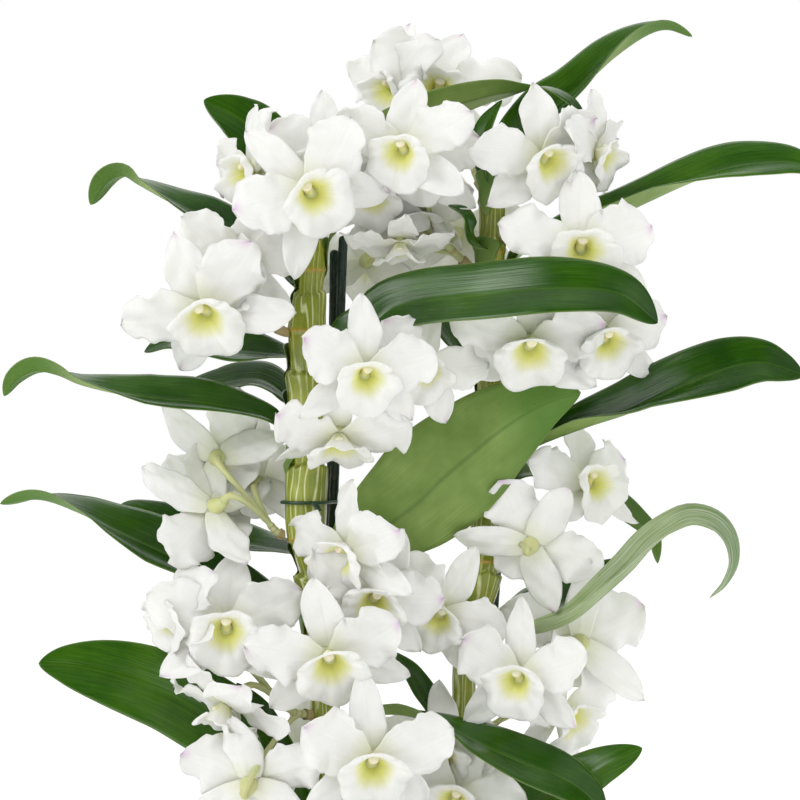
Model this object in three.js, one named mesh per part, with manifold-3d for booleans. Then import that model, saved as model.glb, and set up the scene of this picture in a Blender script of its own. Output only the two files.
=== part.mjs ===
// Dendrobium orchid in its pot: two leafy canes with flower sprays at their nodes, held by slim stakes
// that stand in a bark mix. Millimetres, +Z up, the front of the plant looks along -Y, and the origin is
// the centre of the pot's flat underside.

import * as THREE from 'three';
import Module from 'manifold-3d';

const wasm = await Module();
wasm.setup();

// ---------------------------------------------------------------------------------------------------
// Driving dimensions
// ---------------------------------------------------------------------------------------------------

const GAP = 0.3; // clearance between separate pieces

// The layout below is an elevation drawn on the upright plane y = 0, as it looks from a point this far
// in front of that plane and this high. A third value on a point is its depth behind (+) the plane.
const EYE_DISTANCE = 1550;
const EYE_HEIGHT = 363;

const POT = { height: 110, rimRadius: 62, baseRadius: 46, wall: 2.2, rimDrop: 13, rimOut: 2.4, sides: 32 };
const BARK = { edge: 97, crown: 102, roughness: 2.6, sides: 24, rings: [0.84, 0.58, 0.32] };

// Canes: depth, and stations from bottom to top as [x, z, radius]; a step out is the mouth of a sheath.
const CANE_SIDES = 8;
const CANES = {
  left: {
    depth: -4,
    stations: [
      [-22, 32, 5], [-24, 70, 8], [-27, 110, 9.5], [-30, 150, 9.6], [-34, 172, 9.3], [-37, 185, 10],
      [-37.4, 186, 6.4], [-38.6, 194, 7], [-39, 197, 8.4], [-39, 205, 8], [-39, 233, 9.6],
      [-42, 262, 11.2], [-43.4, 272, 12.6], [-43.8, 273, 8.4], [-48, 287, 8.8], [-49, 290, 10.6],
      [-49, 305, 11], [-48.4, 330, 11.4], [-48.4, 331.5, 9], [-48, 346, 10.2], [-48, 367, 10.8],
      [-47.8, 377, 12.4], [-47.8, 378.4, 9.6], [-48.6, 397, 10], [-48.9, 399, 10.6], [-47.8, 408, 9.4],
      [-46.8, 419, 8.8], [-46.6, 420.4, 6.4], [-46, 431, 7.3], [-45.2, 441, 6.2], [-44, 446, 4.2],
      [-43, 449, 3],
    ],
  },
  right: {
    depth: 12,
    stations: [
      [24, 32, 4.4], [25, 70, 6.4], [27.5, 110, 7.4], [30, 150, 7.2], [32.8, 197, 6.4], [33.6, 229, 6.4],
      [33.8, 232, 7], [34, 234, 5.8], [36, 244, 7], [39, 257, 10], [42.6, 273, 11.6], [43, 274.4, 8.6],
      [44, 279, 9.8], [44.8, 289, 9.6], [45.4, 292, 9.8], [46.6, 306, 9.2], [48.4, 330, 9],
      [48.8, 333, 9.6], [48.9, 334.4, 7.8], [48.9, 347, 8], [46.6, 380, 7.6], [45.2, 394, 7.6],
      [46.2, 428, 7.2], [46.4, 430, 7.8], [47, 440, 8], [47.6, 447, 8.4], [47.8, 448.4, 6.8],
      [48, 464, 7.4], [48, 466, 8], [47.4, 470, 6.6], [46.8, 480, 5.6], [46.6, 486, 3.4],
    ],
  },
};

// Stakes: radius, foot [x, y, z] and top [x, y, z].
const STAKE_RADIUS = 2.5;
const STAKE_SIDES = 8;
const STAKES = {
  stake_front: [[-44, 14, 55], [-29.6, 7, 449]],
  stake_back: [[-40, 23, 55], [-34.4, 14, 442]],
  stake_right: [[36, 28, 55], [60, 23, 402]],
};

// Ties: the cane and the stakes that each one holds, its height and the radius of its wire.
const TIE_WIRE = 0.9;
const TIES = {
  tie_left: { height: 310, cane: 'left', stakes: ['stake_front', 'stake_back'] },
  tie_right: { height: 386, cane: 'right', stakes: ['stake_right'] },
};

// Leaves: height of the base on the cane, and its gap where the cane slopes; greatest width; the way the upper face looks at places spread
// evenly from the base to the tip (0 = up or out, 90 = to the front, below 0 = away, so that the
// underside shows); taper, low where the blade narrows from its middle, high where it stays a strap; and the
// midrib [x, z, depth] from just off the cane to the tip.
const LEAF = { thickness: 1, fold: [0.3, 0.15, 0.12], wave: 1.1, rings: 9, taper: 2.4 };
const LEAVES = {
  leaf_left_01: {
    cane: 'left', base: 153, gap: 0.8, width: 45, face: [66, 70, 72, 72], taper: 3,
    midrib: [
      [-55, 158, 7], [-64, 168, 10], [-82, 186, 11], [-111, 205, 9], [-130, 214, 6], [-152, 221, 4],
      [-173, 225, 2], [-188, 226, 0],
    ],
  },
  leaf_left_02: {
    cane: 'left', base: 112, width: 24, face: [20, 40, 40],
    midrib: [[-49, 134, -12], [-60, 168, -13], [-72, 198, -11], [-85, 216, -8]],
  },
  leaf_left_03: {
    cane: 'left', base: 190, width: 34, face: [-20, -12, 30, 50, 60], taper: 3,
    midrib: [
      [-19, 198, -14], [0, 200, -22], [21, 194, -28], [42, 184, -33], [62, 175, -34], [83, 167, -33],
      [97, 158, -28], [107, 146, -26],
    ],
  },
  leaf_left_04: {
    cane: 'left', base: 252, width: 40, face: [40, 38, 40, 12, -18], taper: 3,
    midrib: [
      [-64, 256, -2], [-83, 266, 5], [-111, 279, 9], [-132, 289, 9], [-150, 297, 7], [-166, 305, 3],
      [-187, 312, -4], [-208, 309, -6],
    ],
  },
  leaf_left_05: {
    cane: 'left', base: 283, width: 30, face: [34, 36, 32],
    midrib: [[-76, 287, 31], [-104, 294, 40], [-125, 302, 44], [-140, 307, 45], [-149, 305, 46]],
  },
  leaf_left_06: {
    cane: 'left', base: 282, gap: 0.75, width: 64, face: [-60, -84, -70], taper: 1.6,
    midrib: [
      [-18, 291, -17], [6, 307, -21], [22, 322, -23], [35, 333, -23], [52, 347, -21], [73, 360, -17],
      [94, 367, -12],
    ],
  },
  leaf_left_07: {
    cane: 'left', base: 342, width: 32, face: [30, 32, 34, 12, -34], taper: 3,
    midrib: [
      [-68, 354, -10], [-97, 361.5, -14], [-125, 364.5, -17], [-146, 367.5, -18], [-166, 372, -19],
      [-178, 377, -20],
      [-190, 379, -21], [-200, 374, -22], [-206, 365, -23],
    ],
  },
  leaf_left_08: {
    cane: 'left', base: 362, width: 30, face: [40, 40, 35],
    midrib: [[-74, 373, 22], [-98, 370, 38], [-120, 363, 48]],
  },
  leaf_left_09: {
    cane: 'left', base: 384, width: 38, face: [60, 60, 56], taper: 3.6,
    midrib: [
      [-28, 397, -19], [-14, 403.5, -23], [0, 412, -27], [42, 417.5, -49.5], [83, 421, -60],
      [114, 418, -58], [134, 403, -52],
    ],
  },
  leaf_left_10: {
    cane: 'left', base: 386, width: 30, face: [35, 35, 32],
    midrib: [[-70, 387, 12], [-97, 390, 20], [-118, 393, 24], [-133, 388, 26]],
  },
  leaf_left_11: {
    cane: 'left', base: 422, width: 32, face: [30, 34, 30, 12, -35], taper: 3,
    midrib: [
      [-69, 438, 12], [-83, 448.5, 17], [-100, 458, 22], [-119, 467, 26], [-135, 475.5, 28],
      [-144, 480.5, 28],
      [-153, 476.5, 28], [-161, 464.5, 28],
    ],
  },
  leaf_left_12: {
    cane: 'left', base: 436, width: 40, face: [60, 72, 70],
    midrib: [[-57, 452, 20], [-66, 480, 32], [-74, 500, 36], [-85, 510, 36], [-102, 519, 36]],
  },
  leaf_left_13: {
    cane: 'left', base: 441, width: 22, face: [-35, -30, -25, 5, 35], taper: 3,
    midrib: [
      [-33, 456, 5], [-30, 476, 10], [-21, 492, 16], [-7, 501, 20], [8, 508, 20], [21, 514, 19],
      [42, 520.5, 17], [61, 524, 14],
      [75, 524.5, 10], [87, 519, 7], [96, 510, 4],
    ],
  },
  leaf_right_01: {
    cane: 'right', base: 118, width: 24, face: [45, 50, 40],
    midrib: [[50, 130, 18], [64, 150, 20], [80, 157, 21], [98, 150, 22]],
  },
  leaf_right_02: {
    cane: 'right', base: 132, width: 31, face: [50, 60, 55],
    midrib: [[56, 149, 2], [83, 159.5, -8], [107, 173, -14], [126, 182, -14]],
  },
  leaf_right_03: {
    cane: 'right', base: 188, width: 18, face: [35, 40, 30],
    midrib: [[18, 200, 6], [8, 217, 8], [-3, 232, 10]],
  },
  leaf_right_04: {
    cane: 'right', base: 236, gap: -0.3, width: 24, face: [10, -30, -26, 18, 24], rings: 13, taper: 3,
    midrib: [
      [55, 242, -4], [72, 244, -11], [89, 251, -14], [104, 263.5, -15], [118, 276, -15],
      [130, 288.5, -14],
      [142, 297, -13], [152, 301, -12], [163, 298.5, -11], [170, 290.5, -10], [172, 279, -9],
      [168, 268, -8],
      [161, 260, -6],
    ],
  },
  leaf_right_05: {
    cane: 'right', base: 250, width: 34, face: [50, 56, 50],
    midrib: [[55, 248, 14], [69, 250, 28], [86, 259, 46], [103, 271, 54], [113, 280, 56]],
  },
  leaf_right_06: {
    cane: 'right', base: 320, width: 26, face: [40, 42, 38],
    midrib: [
      [65, 325, 20], [80, 323, 38], [95, 318, 50], [111, 309, 57], [122, 301, 59], [131, 292, 59],
      [134, 278, 58],
    ],
  },
  leaf_right_07: {
    cane: 'right', base: 331, width: 40, face: [14, 16, 32, 58, 70], taper: 3,
    midrib: [
      [63, 337, 9], [78, 345, 8], [97, 353, 3], [118, 359.5, -4], [132, 365.5, -8], [152, 373.5, -12],
      [173, 380.5, -12], [187, 382.5, -12], [198, 380, -11], [210, 375.5, -10],
    ],
  },
  leaf_right_08: {
    cane: 'right', base: 374, width: 26, face: [30, 36, 30],
    midrib: [[30, 390, 30], [14, 412, 40], [-4, 432, 44]],
  },
  leaf_right_09: {
    cane: 'right', base: 428, width: 34, face: [20, -3, -18, -38, -38], taper: 3,
    midrib: [
      [61, 438, 14], [72, 445, 12], [91, 455, 10], [111, 462, 10], [132, 471.5, 10], [152, 479, 10],
      [173, 485, 10], [194, 487, 9], [208, 485.5, 7], [219, 479, 6],
    ],
  },
  leaf_right_10: {
    cane: 'right', base: 441, width: 16, face: [30, 34, 30],
    midrib: [[37, 448, -10], [33, 459, -18], [25, 464, -23]],
  },
  leaf_right_11: {
    cane: 'right', base: 476, width: 18, face: [30, 34, 30],
    midrib: [[43, 491, 3], [45, 505, 1], [53, 519, 2]],
  },
  leaf_right_12: {
    cane: 'right', base: 478, width: 38, face: [60, 60, 50, 12, -22], taper: 3,
    midrib: [
      [55, 493, 22], [72, 511, 28], [90, 525, 32], [109, 543, 34], [126, 554.5, 35], [139, 557.5, 36],
      [152, 552, 36],
    ],
  },
};

// Sprays: height of the peduncle on its cane, the point [x, z, depth] where it divides, and its blooms.
// A bloom is [x, z, depth, turn to the right, tilt up, roll clockwise, size]; turn 0 faces the front.
const SPRAYS = {
  spray_left_01: {
    cane: 'left', node: 165, fork: [-26, 172, -20],
    blooms: [[-15, 176, -57, 8, -10, 0, 1.1]],
  },
  spray_left_02: {
    cane: 'left', node: 200, fork: [-57, 201, -18],
    blooms: [
      [-90, 244, -34, 0, 10, 0, 1.1], [-113, 250, -24, -60, 10, -20, 0.9],
      [-89, 206, -28, -60, -50, 0, 1],
      [-78, 164, -34, 160, 20, 0, 1.05],
    ],
  },
  spray_left_03: {
    cane: 'left', node: 200, fork: [-48, 188, 22],
    blooms: [[-53, 173, 30, 200, 10, 0, 0.95]],
  },
  spray_left_04: {
    cane: 'left', node: 276, fork: [-34, 268, -20],
    blooms: [
      [-26, 284, -42, -40, -5, 0, 1],
      [-14, 261, -38, 8, -10, 20, 1],
      [-37, 230, -48, 5, -15, -12, 1.1],
    ],
  },
  spray_left_05: {
    cane: 'left', node: 293, fork: [-68, 299, -8],
    blooms: [
      [-95, 333, 4, 170, -5, 51, 1],
      [-97, 307, -10, -150, -35, 60, 1.05],
      [-75, 321, 18, 175, 0, 0, 0.9],
    ],
  },
  spray_left_06: {
    cane: 'left', node: 352, fork: [-28, 362, -20],
    blooms: [
      [-19, 377, -62.5, 14, -5, 4, 0.98],
      [-32, 346, -34, 5, -50, 0, 1],
      [11, 380, -40, 20, 0, 20, 0.88],
    ],
  },
  spray_left_07: {
    cane: 'left', node: 398, fork: [-75, 408, -16],
    blooms: [
      [-82, 435, -26, -8, 0, 15, 0.95],
      [-100, 411, -34, -15, -20, -28, 1.15],
      [-93, 428, -14, -60, 15, 0, 0.9],
    ],
  },
  spray_left_08: {
    cane: 'left', node: 446, fork: [-46, 458, -6],
    blooms: [
      [-47, 471, -48, 5, 0, -40, 1.1],
      [-39, 493, -2, 0, 10, 0, 1],
      [-75, 482, -4, -60, 0, -20, 1],
    ],
  },
  spray_right_01: {
    cane: 'right', node: 165, fork: [26, 172, -2],
    blooms: [[22, 180, -4, -5, -5, 0, 0.95], [29, 156, -16, -5, 5, 20, 1]],
  },
  spray_right_02: {
    cane: 'right', node: 192, fork: [49, 194, -2],
    blooms: [[63, 219, -34, -20, 0, 3, 1], [93, 237, 4, 186, 0, 0, 1.1], [83, 201, -4, 50, -10, 0, 1.1]],
  },
  spray_right_03: {
    cane: 'right', node: 256, fork: [28, 256, -8],
    blooms: [[21, 253, -15, -5, -10, 35, 0.95]],
  },
  spray_right_04: {
    cane: 'right', node: 281, fork: [58, 286, 4],
    blooms: [[68, 288, -9, 178, 10, -40, 1], [96, 319, 14, 40, 20, 0, 1]],
  },
  spray_right_05: {
    cane: 'right', node: 396, fork: [60, 400, -8],
    blooms: [[67, 393, -34, 5, -20, 5, 1.1], [105, 396, -20, 20, -10, 0, 1]],
  },
  spray_right_06: {
    cane: 'right', node: 430, fork: [18, 451, -4],
    blooms: [
      [3, 493, -40, -20, 0, 0, 1], [10, 484, -16, 8, 0, 0, 0.92], [-14, 471, -15, 0, -15, 0, 0.88],
      [6, 460, -1, 20, -25, 0, 0.95], [0, 446, -14, 0, -70, 0, 0.8], [29, 449, 32, 180, 0, 0, 0.95],
      [-17, 435, 25, 170, -20, 0, 0.95],
    ],
  },
  spray_right_07: {
    cane: 'right', node: 446, fork: [62, 446, -4],
    blooms: [[93, 441, -30, 10, 10, 0, 1.1]],
  },
  spray_right_08: {
    cane: 'right', node: 466, fork: [60, 474, -6],
    blooms: [[73, 489, -18, 30, -5, -13, 1.05], [100, 491, 0, 65, 0, 0, 0.9]],
  },
  spray_right_09: {
    cane: 'right', node: 472, fork: [36, 490, 34],
    blooms: [[20, 522, 50, 0, 20, 15, 1.15], [-1, 525, 56, -55, 5, -10, 1]],
  },
};

// A bloom of size 1, in its own frame: x to the viewer's right, y towards the dorsal sepal, z forward. It
// grows from a receptacle with ten corners, two for each tepal. Tepals are listed anticlockwise.
const RECEPTACLE = { radius: 4.4, spread: 14 };
const TEPAL_THICKNESS = 1.4;
const SEPAL = { length: 38, width: 17, lift: 0.1, curl: 0.2, cup: 0.16, ruffle: 0, base: [-2.8, -0.2] };
const PETAL = { length: 38, width: 25, lift: 0.22, curl: 0.2, cup: 0.08, ruffle: 1.2, base: [0.2, 2.8] };
const TEPALS = [
  { ...SEPAL, at: 0 }, { ...PETAL, at: -67 }, { ...SEPAL, at: -126 }, { ...SEPAL, at: 126 }, { ...PETAL, at: 67 },
];
const TEPAL_STATIONS = [[0.4, 0.96], [0.74, 0.86]]; // [place along the length, share of the width]
const LIP = { width: 17, above: 10, below: 17, centre: -4, forward: 12, droop: 5, ruffle: 1.2 };
const THROAT = { radius: 3.1, depth: 3.4 };
const COLUMN_TIP = [0, 3.4, 9.5];
const CHIN = { radius: 2.6, y: -2.6, z: -8 };
const PEDUNCLE_RADIUS = 2.3;
const PEDICEL_RADIUS = 1.4;
const PEDICEL_STEPS = 3;

// Finishes: colour, roughness.
const FINISH = {
  leaf: new THREE.MeshStandardMaterial({ color: 0x3a6620, roughness: 0.42, metalness: 0 }),
  cane: new THREE.MeshStandardMaterial({ color: 0x8f9446, roughness: 0.5, metalness: 0 }),
  bloom: new THREE.MeshStandardMaterial({ color: 0xf3f3ee, roughness: 0.6, metalness: 0 }),
  stake: new THREE.MeshStandardMaterial({ color: 0x26302b, roughness: 0.35, metalness: 0 }),
  tie: new THREE.MeshStandardMaterial({ color: 0x1d4a30, roughness: 0.4, metalness: 0 }),
  bark: new THREE.MeshStandardMaterial({ color: 0x5b3d28, roughness: 0.95, metalness: 0 }),
  pot: new THREE.MeshStandardMaterial({ color: 0x3b3a38, roughness: 0.55, metalness: 0 }),
};

// ---------------------------------------------------------------------------------------------------
// Solids
// ---------------------------------------------------------------------------------------------------

const radians = THREE.MathUtils.degToRad;
const lerp = THREE.MathUtils.lerp;
const UP = new THREE.Vector3(0, 0, 1);
const FRONT = new THREE.Vector3(0, -1, 0);

/** A point drawn at (x, z) on the front plane, slid along its sight line to its depth. */
function seen([x, z, depth]) {
  const spread = (EYE_DISTANCE + depth) / EYE_DISTANCE;
  return new THREE.Vector3(x * spread, depth, EYE_HEIGHT + (z - EYE_HEIGHT) * spread);
}

/**
 * Closed body through rings of equally many points, each wound anticlockwise about the way forward.
 * An end is closed by a tip point where one is given, and otherwise by strips across its ring. The
 * quads that start at a point listed in flips are split the other way, so that a thin blade's two
 * faces fold alike.
 */
function loft(rings, { start, end, loop = false, flips = [] } = {}) {
  const sides = rings[0].length;
  const points = rings.flat();
  const index = [];
  const spans = loop ? rings.length : rings.length - 1;
  for (let i = 0; i < spans; i++) {
    const near = i * sides;
    const far = ((i + 1) % rings.length) * sides;
    for (let j = 0; j < sides; j++) {
      const k = (j + 1) % sides;
      if (flips.includes(j)) index.push(near + j, near + k, far + j, near + k, far + k, far + j);
      else index.push(near + j, near + k, far + k, near + j, far + k, far + j);
    }
  }
  if (!loop) {
    const last = (rings.length - 1) * sides;
    if (start) points.push(start);
    const startAt = points.length - 1;
    if (end) points.push(end);
    const endAt = points.length - 1;
    for (let j = 0; start && j < sides; j++) index.push(startAt, (j + 1) % sides, j);
    for (let j = 0; end && j < sides; j++) index.push(endAt, last + j, last + ((j + 1) % sides));
    for (let j = 0; j < sides / 2 - 1; j++) {
      const strip = [j, j + 1, sides - 2 - j, sides - 1 - j];
      if (!start) index.push(strip[0], strip[2], strip[1], strip[0], strip[3], strip[2]);
      if (!end) {
        const [a, b, c, d] = strip.map((i) => last + i);
        index.push(a, b, c, a, c, d);
      }
    }
  }
  const geometry = new THREE.BufferGeometry().setFromPoints(points);
  geometry.setIndex(index);
  return geometry;
}

/** Ring of points round a centre, from one axis towards the other. */
function ring(centre, radius, sides, xAxis, yAxis) {
  return Array.from({ length: sides }, (_, j) => {
    const angle = (2 * Math.PI * j) / sides;
    return centre.clone()
      .addScaledVector(xAxis, radius * Math.cos(angle))
      .addScaledVector(yAxis, radius * Math.sin(angle));
  });
}

/** Round bar along a curve, whose radius runs from one end's to the other's. */
function bar(curve, steps, sides, startRadius, endRadius) {
  const frames = curve.computeFrenetFrames(steps, false);
  const rings = frames.tangents.map((_, i) => {
    const radius = lerp(startRadius, endRadius, i / steps);
    return ring(curve.getPointAt(i / steps), radius, sides, frames.normals[i], frames.binormals[i]);
  });
  return loft(rings);
}

/** Body turned about the Z axis from a profile of [radius, z], closed by a flat face at each end. */
function turned(profile, sides) {
  const xAxis = new THREE.Vector3(1, 0, 0);
  const yAxis = new THREE.Vector3(0, 1, 0);
  const rings = profile.map(([radius, z]) => ring(new THREE.Vector3(0, 0, z), radius, sides, xAxis, yAxis));
  const onAxis = (z) => new THREE.Vector3(0, 0, z);
  return loft(rings, { start: onAxis(profile[0][1]), end: onAxis(profile.at(-1)[1]) });
}

function toManifold(geometry) {
  return new wasm.Manifold(new wasm.Mesh({
    numProp: 3,
    vertProperties: new Float32Array(geometry.attributes.position.array),
    triVerts: new Uint32Array(geometry.index.array),
  }));
}

/** The largest body of a solid as a geometry: sealed hollows are filled and loose scraps dropped. */
function toGeometry(manifold) {
  const body = manifold.decompose().reduce((a, b) => (a.volume() > b.volume() ? a : b));
  const { vertProperties, triVerts } = body.getMesh();
  const geometry = new THREE.BufferGeometry();
  geometry.setAttribute('position', new THREE.BufferAttribute(vertProperties, 3));
  geometry.setIndex(new THREE.BufferAttribute(triVerts, 1));
  return geometry;
}

function fused(geometries) {
  return toGeometry(geometries.map(toManifold).reduce((whole, next) => whole.add(next)));
}

function cut(geometry, tools) {
  const left = tools.map(toManifold).reduce((whole, next) => whole.subtract(next), toManifold(geometry));
  return toGeometry(left);
}

// ---------------------------------------------------------------------------------------------------
// Canes, stakes and ties
// ---------------------------------------------------------------------------------------------------

/** A cane's axis point and radius at a height drawn on the front plane. */
function caneAt({ stations, depth }, height) {
  const upper = stations.findIndex(([, z]) => z >= height);
  const [x0, z0, r0] = stations[upper - 1];
  const [x1, z1, r1] = stations[upper];
  const t = (height - z0) / (z1 - z0);
  return { centre: seen([lerp(x0, x1, t), height, depth]), radius: Math.max(r0, r1) };
}

/** Segmented cane; grow widens it, for the hole that it stands in. */
function cane({ stations, depth }, grow = 0) {
  const xAxis = new THREE.Vector3(1, 0, 0);
  const yAxis = new THREE.Vector3(0, 1, 0);
  const rings = stations.map(([x, z, radius]) =>
    ring(seen([x, z, depth]), radius + grow, CANE_SIDES, xAxis, yAxis));
  return loft(rings);
}

function stake([foot, top], radius = STAKE_RADIUS) {
  const line = new THREE.LineCurve3(new THREE.Vector3(...foot), new THREE.Vector3(...top));
  return bar(line, 1, STAKE_SIDES, radius, radius);
}

/** Where a stake's axis passes a height. */
function stakeAt([foot, top], height) {
  return new THREE.Vector3(...foot).lerp(new THREE.Vector3(...top), (height - foot[2]) / (top[2] - foot[2]));
}

/** Outline round a set of points, anticlockwise. */
function hull(points) {
  const sorted = [...points].sort((a, b) => a.x - b.x || a.y - b.y);
  const turn = (o, a, b) => (a.x - o.x) * (b.y - o.y) - (a.y - o.y) * (b.x - o.x);
  const half = (list) => {
    const chain = [];
    for (const p of list) {
      while (chain.length > 1 && turn(chain.at(-2), chain.at(-1), p) <= 0) chain.pop();
      chain.push(p);
    }
    return chain.slice(0, -1);
  };
  return [...half(sorted), ...half(sorted.reverse())];
}

/** Wire loop drawn tight round a cane and its stakes. */
function tie({ height, cane: name, stakes }) {
  const clear = TIE_WIRE + GAP;
  const { centre, radius } = caneAt(CANES[name], height);
  const held = stakes.map((name) => ({ centre: stakeAt(STAKES[name], height), radius: STAKE_RADIUS }));
  const posts = [{ centre, radius }, ...held];
  const around = 10;
  const outline = hull(posts.flatMap((post) => Array.from({ length: around }, (_, j) => {
    const angle = (2 * Math.PI * (j + 0.5)) / around;
    const reach = (post.radius + clear) / Math.cos(Math.PI / around);
    return new THREE.Vector2(post.centre.x + reach * Math.cos(angle), post.centre.y + reach * Math.sin(angle));
  })));
  const wireSides = 5;
  const rings = outline.map((p, i) => {
    const before = outline.at(i - 1);
    const after = outline[(i + 1) % outline.length];
    const along = after.clone().sub(before).normalize();
    const outward = new THREE.Vector3(along.y, -along.x, 0);
    return ring(new THREE.Vector3(p.x, p.y, height), TIE_WIRE, wireSides, outward, UP.clone().negate());
  });
  return loft(rings, { loop: true });
}

// ---------------------------------------------------------------------------------------------------
// Leaves
// ---------------------------------------------------------------------------------------------------

/** Share of the greatest width at a place along a leaf: clasping base, widest below the middle, then a tip. */
function leafOutline(u, taper) {
  const widest = 0.42;
  if (u < widest) return 0.26 + 0.74 * Math.sin((0.5 * Math.PI * u) / widest);
  return Math.max(1 - ((u - widest) / (1 - widest)) ** taper, 0.012) ** 0.7;
}

/** Value at a place between values given evenly from the start to the end. */
function blend(values, u) {
  const place = u * (values.length - 1);
  const i = Math.min(Math.floor(place), values.length - 2);
  return lerp(values[i], values[i + 1], place - i);
}

/** Point on a cane's surface, towards another point. */
function seat(caneName, height, towards, gap = GAP) {
  const { centre, radius } = caneAt(CANES[caneName], height);
  const outward = towards.clone().sub(centre).setZ(0).normalize();
  const corner = (2 * Math.PI) / CANE_SIDES;
  const angle = Math.atan2(outward.y, outward.x) / corner;
  const reach = radius * Math.cos((angle - Math.round(angle)) * corner);
  return { point: centre.addScaledVector(outward, reach + gap), outward };
}

function leaf({ cane: name, base, gap, width, face, midrib, taper = LEAF.taper, rings: count = LEAF.rings }) {
  const drawn = midrib.map(seen);
  const { point, outward } = seat(name, base, drawn[0], gap);
  const curve = new THREE.CatmullRomCurve3([point, ...drawn], false, 'catmullrom', 0.5);
  const reach = Math.sign(drawn.at(-1).x - point.x);
  const rings = Array.from({ length: count }, (_, i) => {
    const u = i / (count - 1);
    const centre = curve.getPointAt(u);
    const along = i === 0 ? outward : curve.getTangentAt(u);
    const angle = radians(blend(face, u));
    const edgeOn = new THREE.Vector3(-along.z * reach, 0, along.x * reach).normalize();
    const normal = edgeOn.multiplyScalar(Math.cos(angle)).addScaledVector(FRONT, Math.sin(angle));
    normal.addScaledVector(along, -normal.dot(along)).normalize();
    const side = normal.clone().cross(along);
    const half = (width / 2) * leafOutline(u, taper);
    const raised = blend(LEAF.fold, u) * half;
    const wave = (LEAF.wave * Math.sin(7 * u + base) * half) / 16;
    const t = LEAF.thickness / 2;
    const at = (across, up) => centre.clone().addScaledVector(side, across).addScaledVector(normal, up);
    return [
      at(half, raised + wave + t), at(0, t), at(-half, raised - wave + t),
      at(-half, raised - wave - t), at(0, -t), at(half, raised + wave - t),
    ];
  });
  return loft(rings, { flips: [1, 4] });
}

// ---------------------------------------------------------------------------------------------------
// Blooms and sprays
// ---------------------------------------------------------------------------------------------------

/** Small steady difference between one bloom and the next, from -1 to 1. */
function wobble(seed, k) {
  return Math.sin(seed * 12.9 + k * 78.2);
}

/** Point of a bloom at a clockwise angle, a distance out from its axis and a height forward. */
function polar(angle, radius, z) {
  return new THREE.Vector3(radius * Math.sin(radians(angle)), radius * Math.cos(radians(angle)), z);
}

/** Sections of a tepal from its seat outwards, each a blade thickest at its mid-vein, and its tip. */
function tepal(shape, seed, k) {
  const angle = shape.at + 4 * wobble(seed, k);
  const along = polar(angle, 1, 0);
  const forward = new THREE.Vector3(0, 0, 1);
  const side = forward.clone().cross(along);
  const curl = shape.curl + 0.05 * wobble(seed, k + 10);
  const middle = (shape.base[0] + shape.base[1]) / 2;
  const at = (u, across, up) => new THREE.Vector3()
    .addScaledVector(along, shape.length * u)
    .addScaledVector(side, across)
    .addScaledVector(forward, middle + shape.length * (shape.lift * u - curl * u * u) + up);
  const t = TEPAL_THICKNESS / 2;
  const sections = TEPAL_STATIONS.map(([u, share], i) => {
    const half = (shape.width / 2) * share;
    const edge = shape.cup * half;
    const ruffle = shape.ruffle * (i % 2 ? 1 : -1);
    return [at(u, 0, -t), at(u, half, edge + ruffle), at(u, 0, t), at(u, -half, edge - ruffle)];
  });
  return { sections, tip: at(1, 0, 0) };
}

/** Edge of the lip: ten points anticlockwise, lowest and furthest out below, ruffled. */
function lipRim(seed) {
  return Array.from({ length: 10 }, (_, j) => {
    const angle = radians(18 - 36 * j);
    const rise = Math.cos(angle);
    return new THREE.Vector3(
      LIP.width * Math.sin(angle),
      LIP.centre + rise * (rise > 0 ? LIP.above : LIP.below),
      LIP.forward + LIP.droop * Math.min(rise, 0) + LIP.ruffle * wobble(seed, j),
    );
  });
}

/** Rings of the pedicel, from its root to the chin behind the bloom, five points each. */
function pedicelRings(frame, curve) {
  const rings = [];
  const normal = new THREE.Vector3().setFromMatrixColumn(frame, 1).normalize();
  for (let i = PEDICEL_STEPS - 1; i >= 0; i--) {
    const u = i / PEDICEL_STEPS;
    const along = curve.getTangentAt(u);
    normal.addScaledVector(along, -normal.dot(along)).normalize();
    const side = normal.clone().cross(along);
    const radius = PEDICEL_RADIUS * (1 + 0.3 * u);
    rings.unshift(TEPALS.map(({ at }) => curve.getPointAt(u).clone()
      .addScaledVector(side, radius * Math.sin(radians(at)))
      .addScaledVector(normal, radius * Math.cos(radians(at)))));
  }
  return rings;
}

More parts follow.
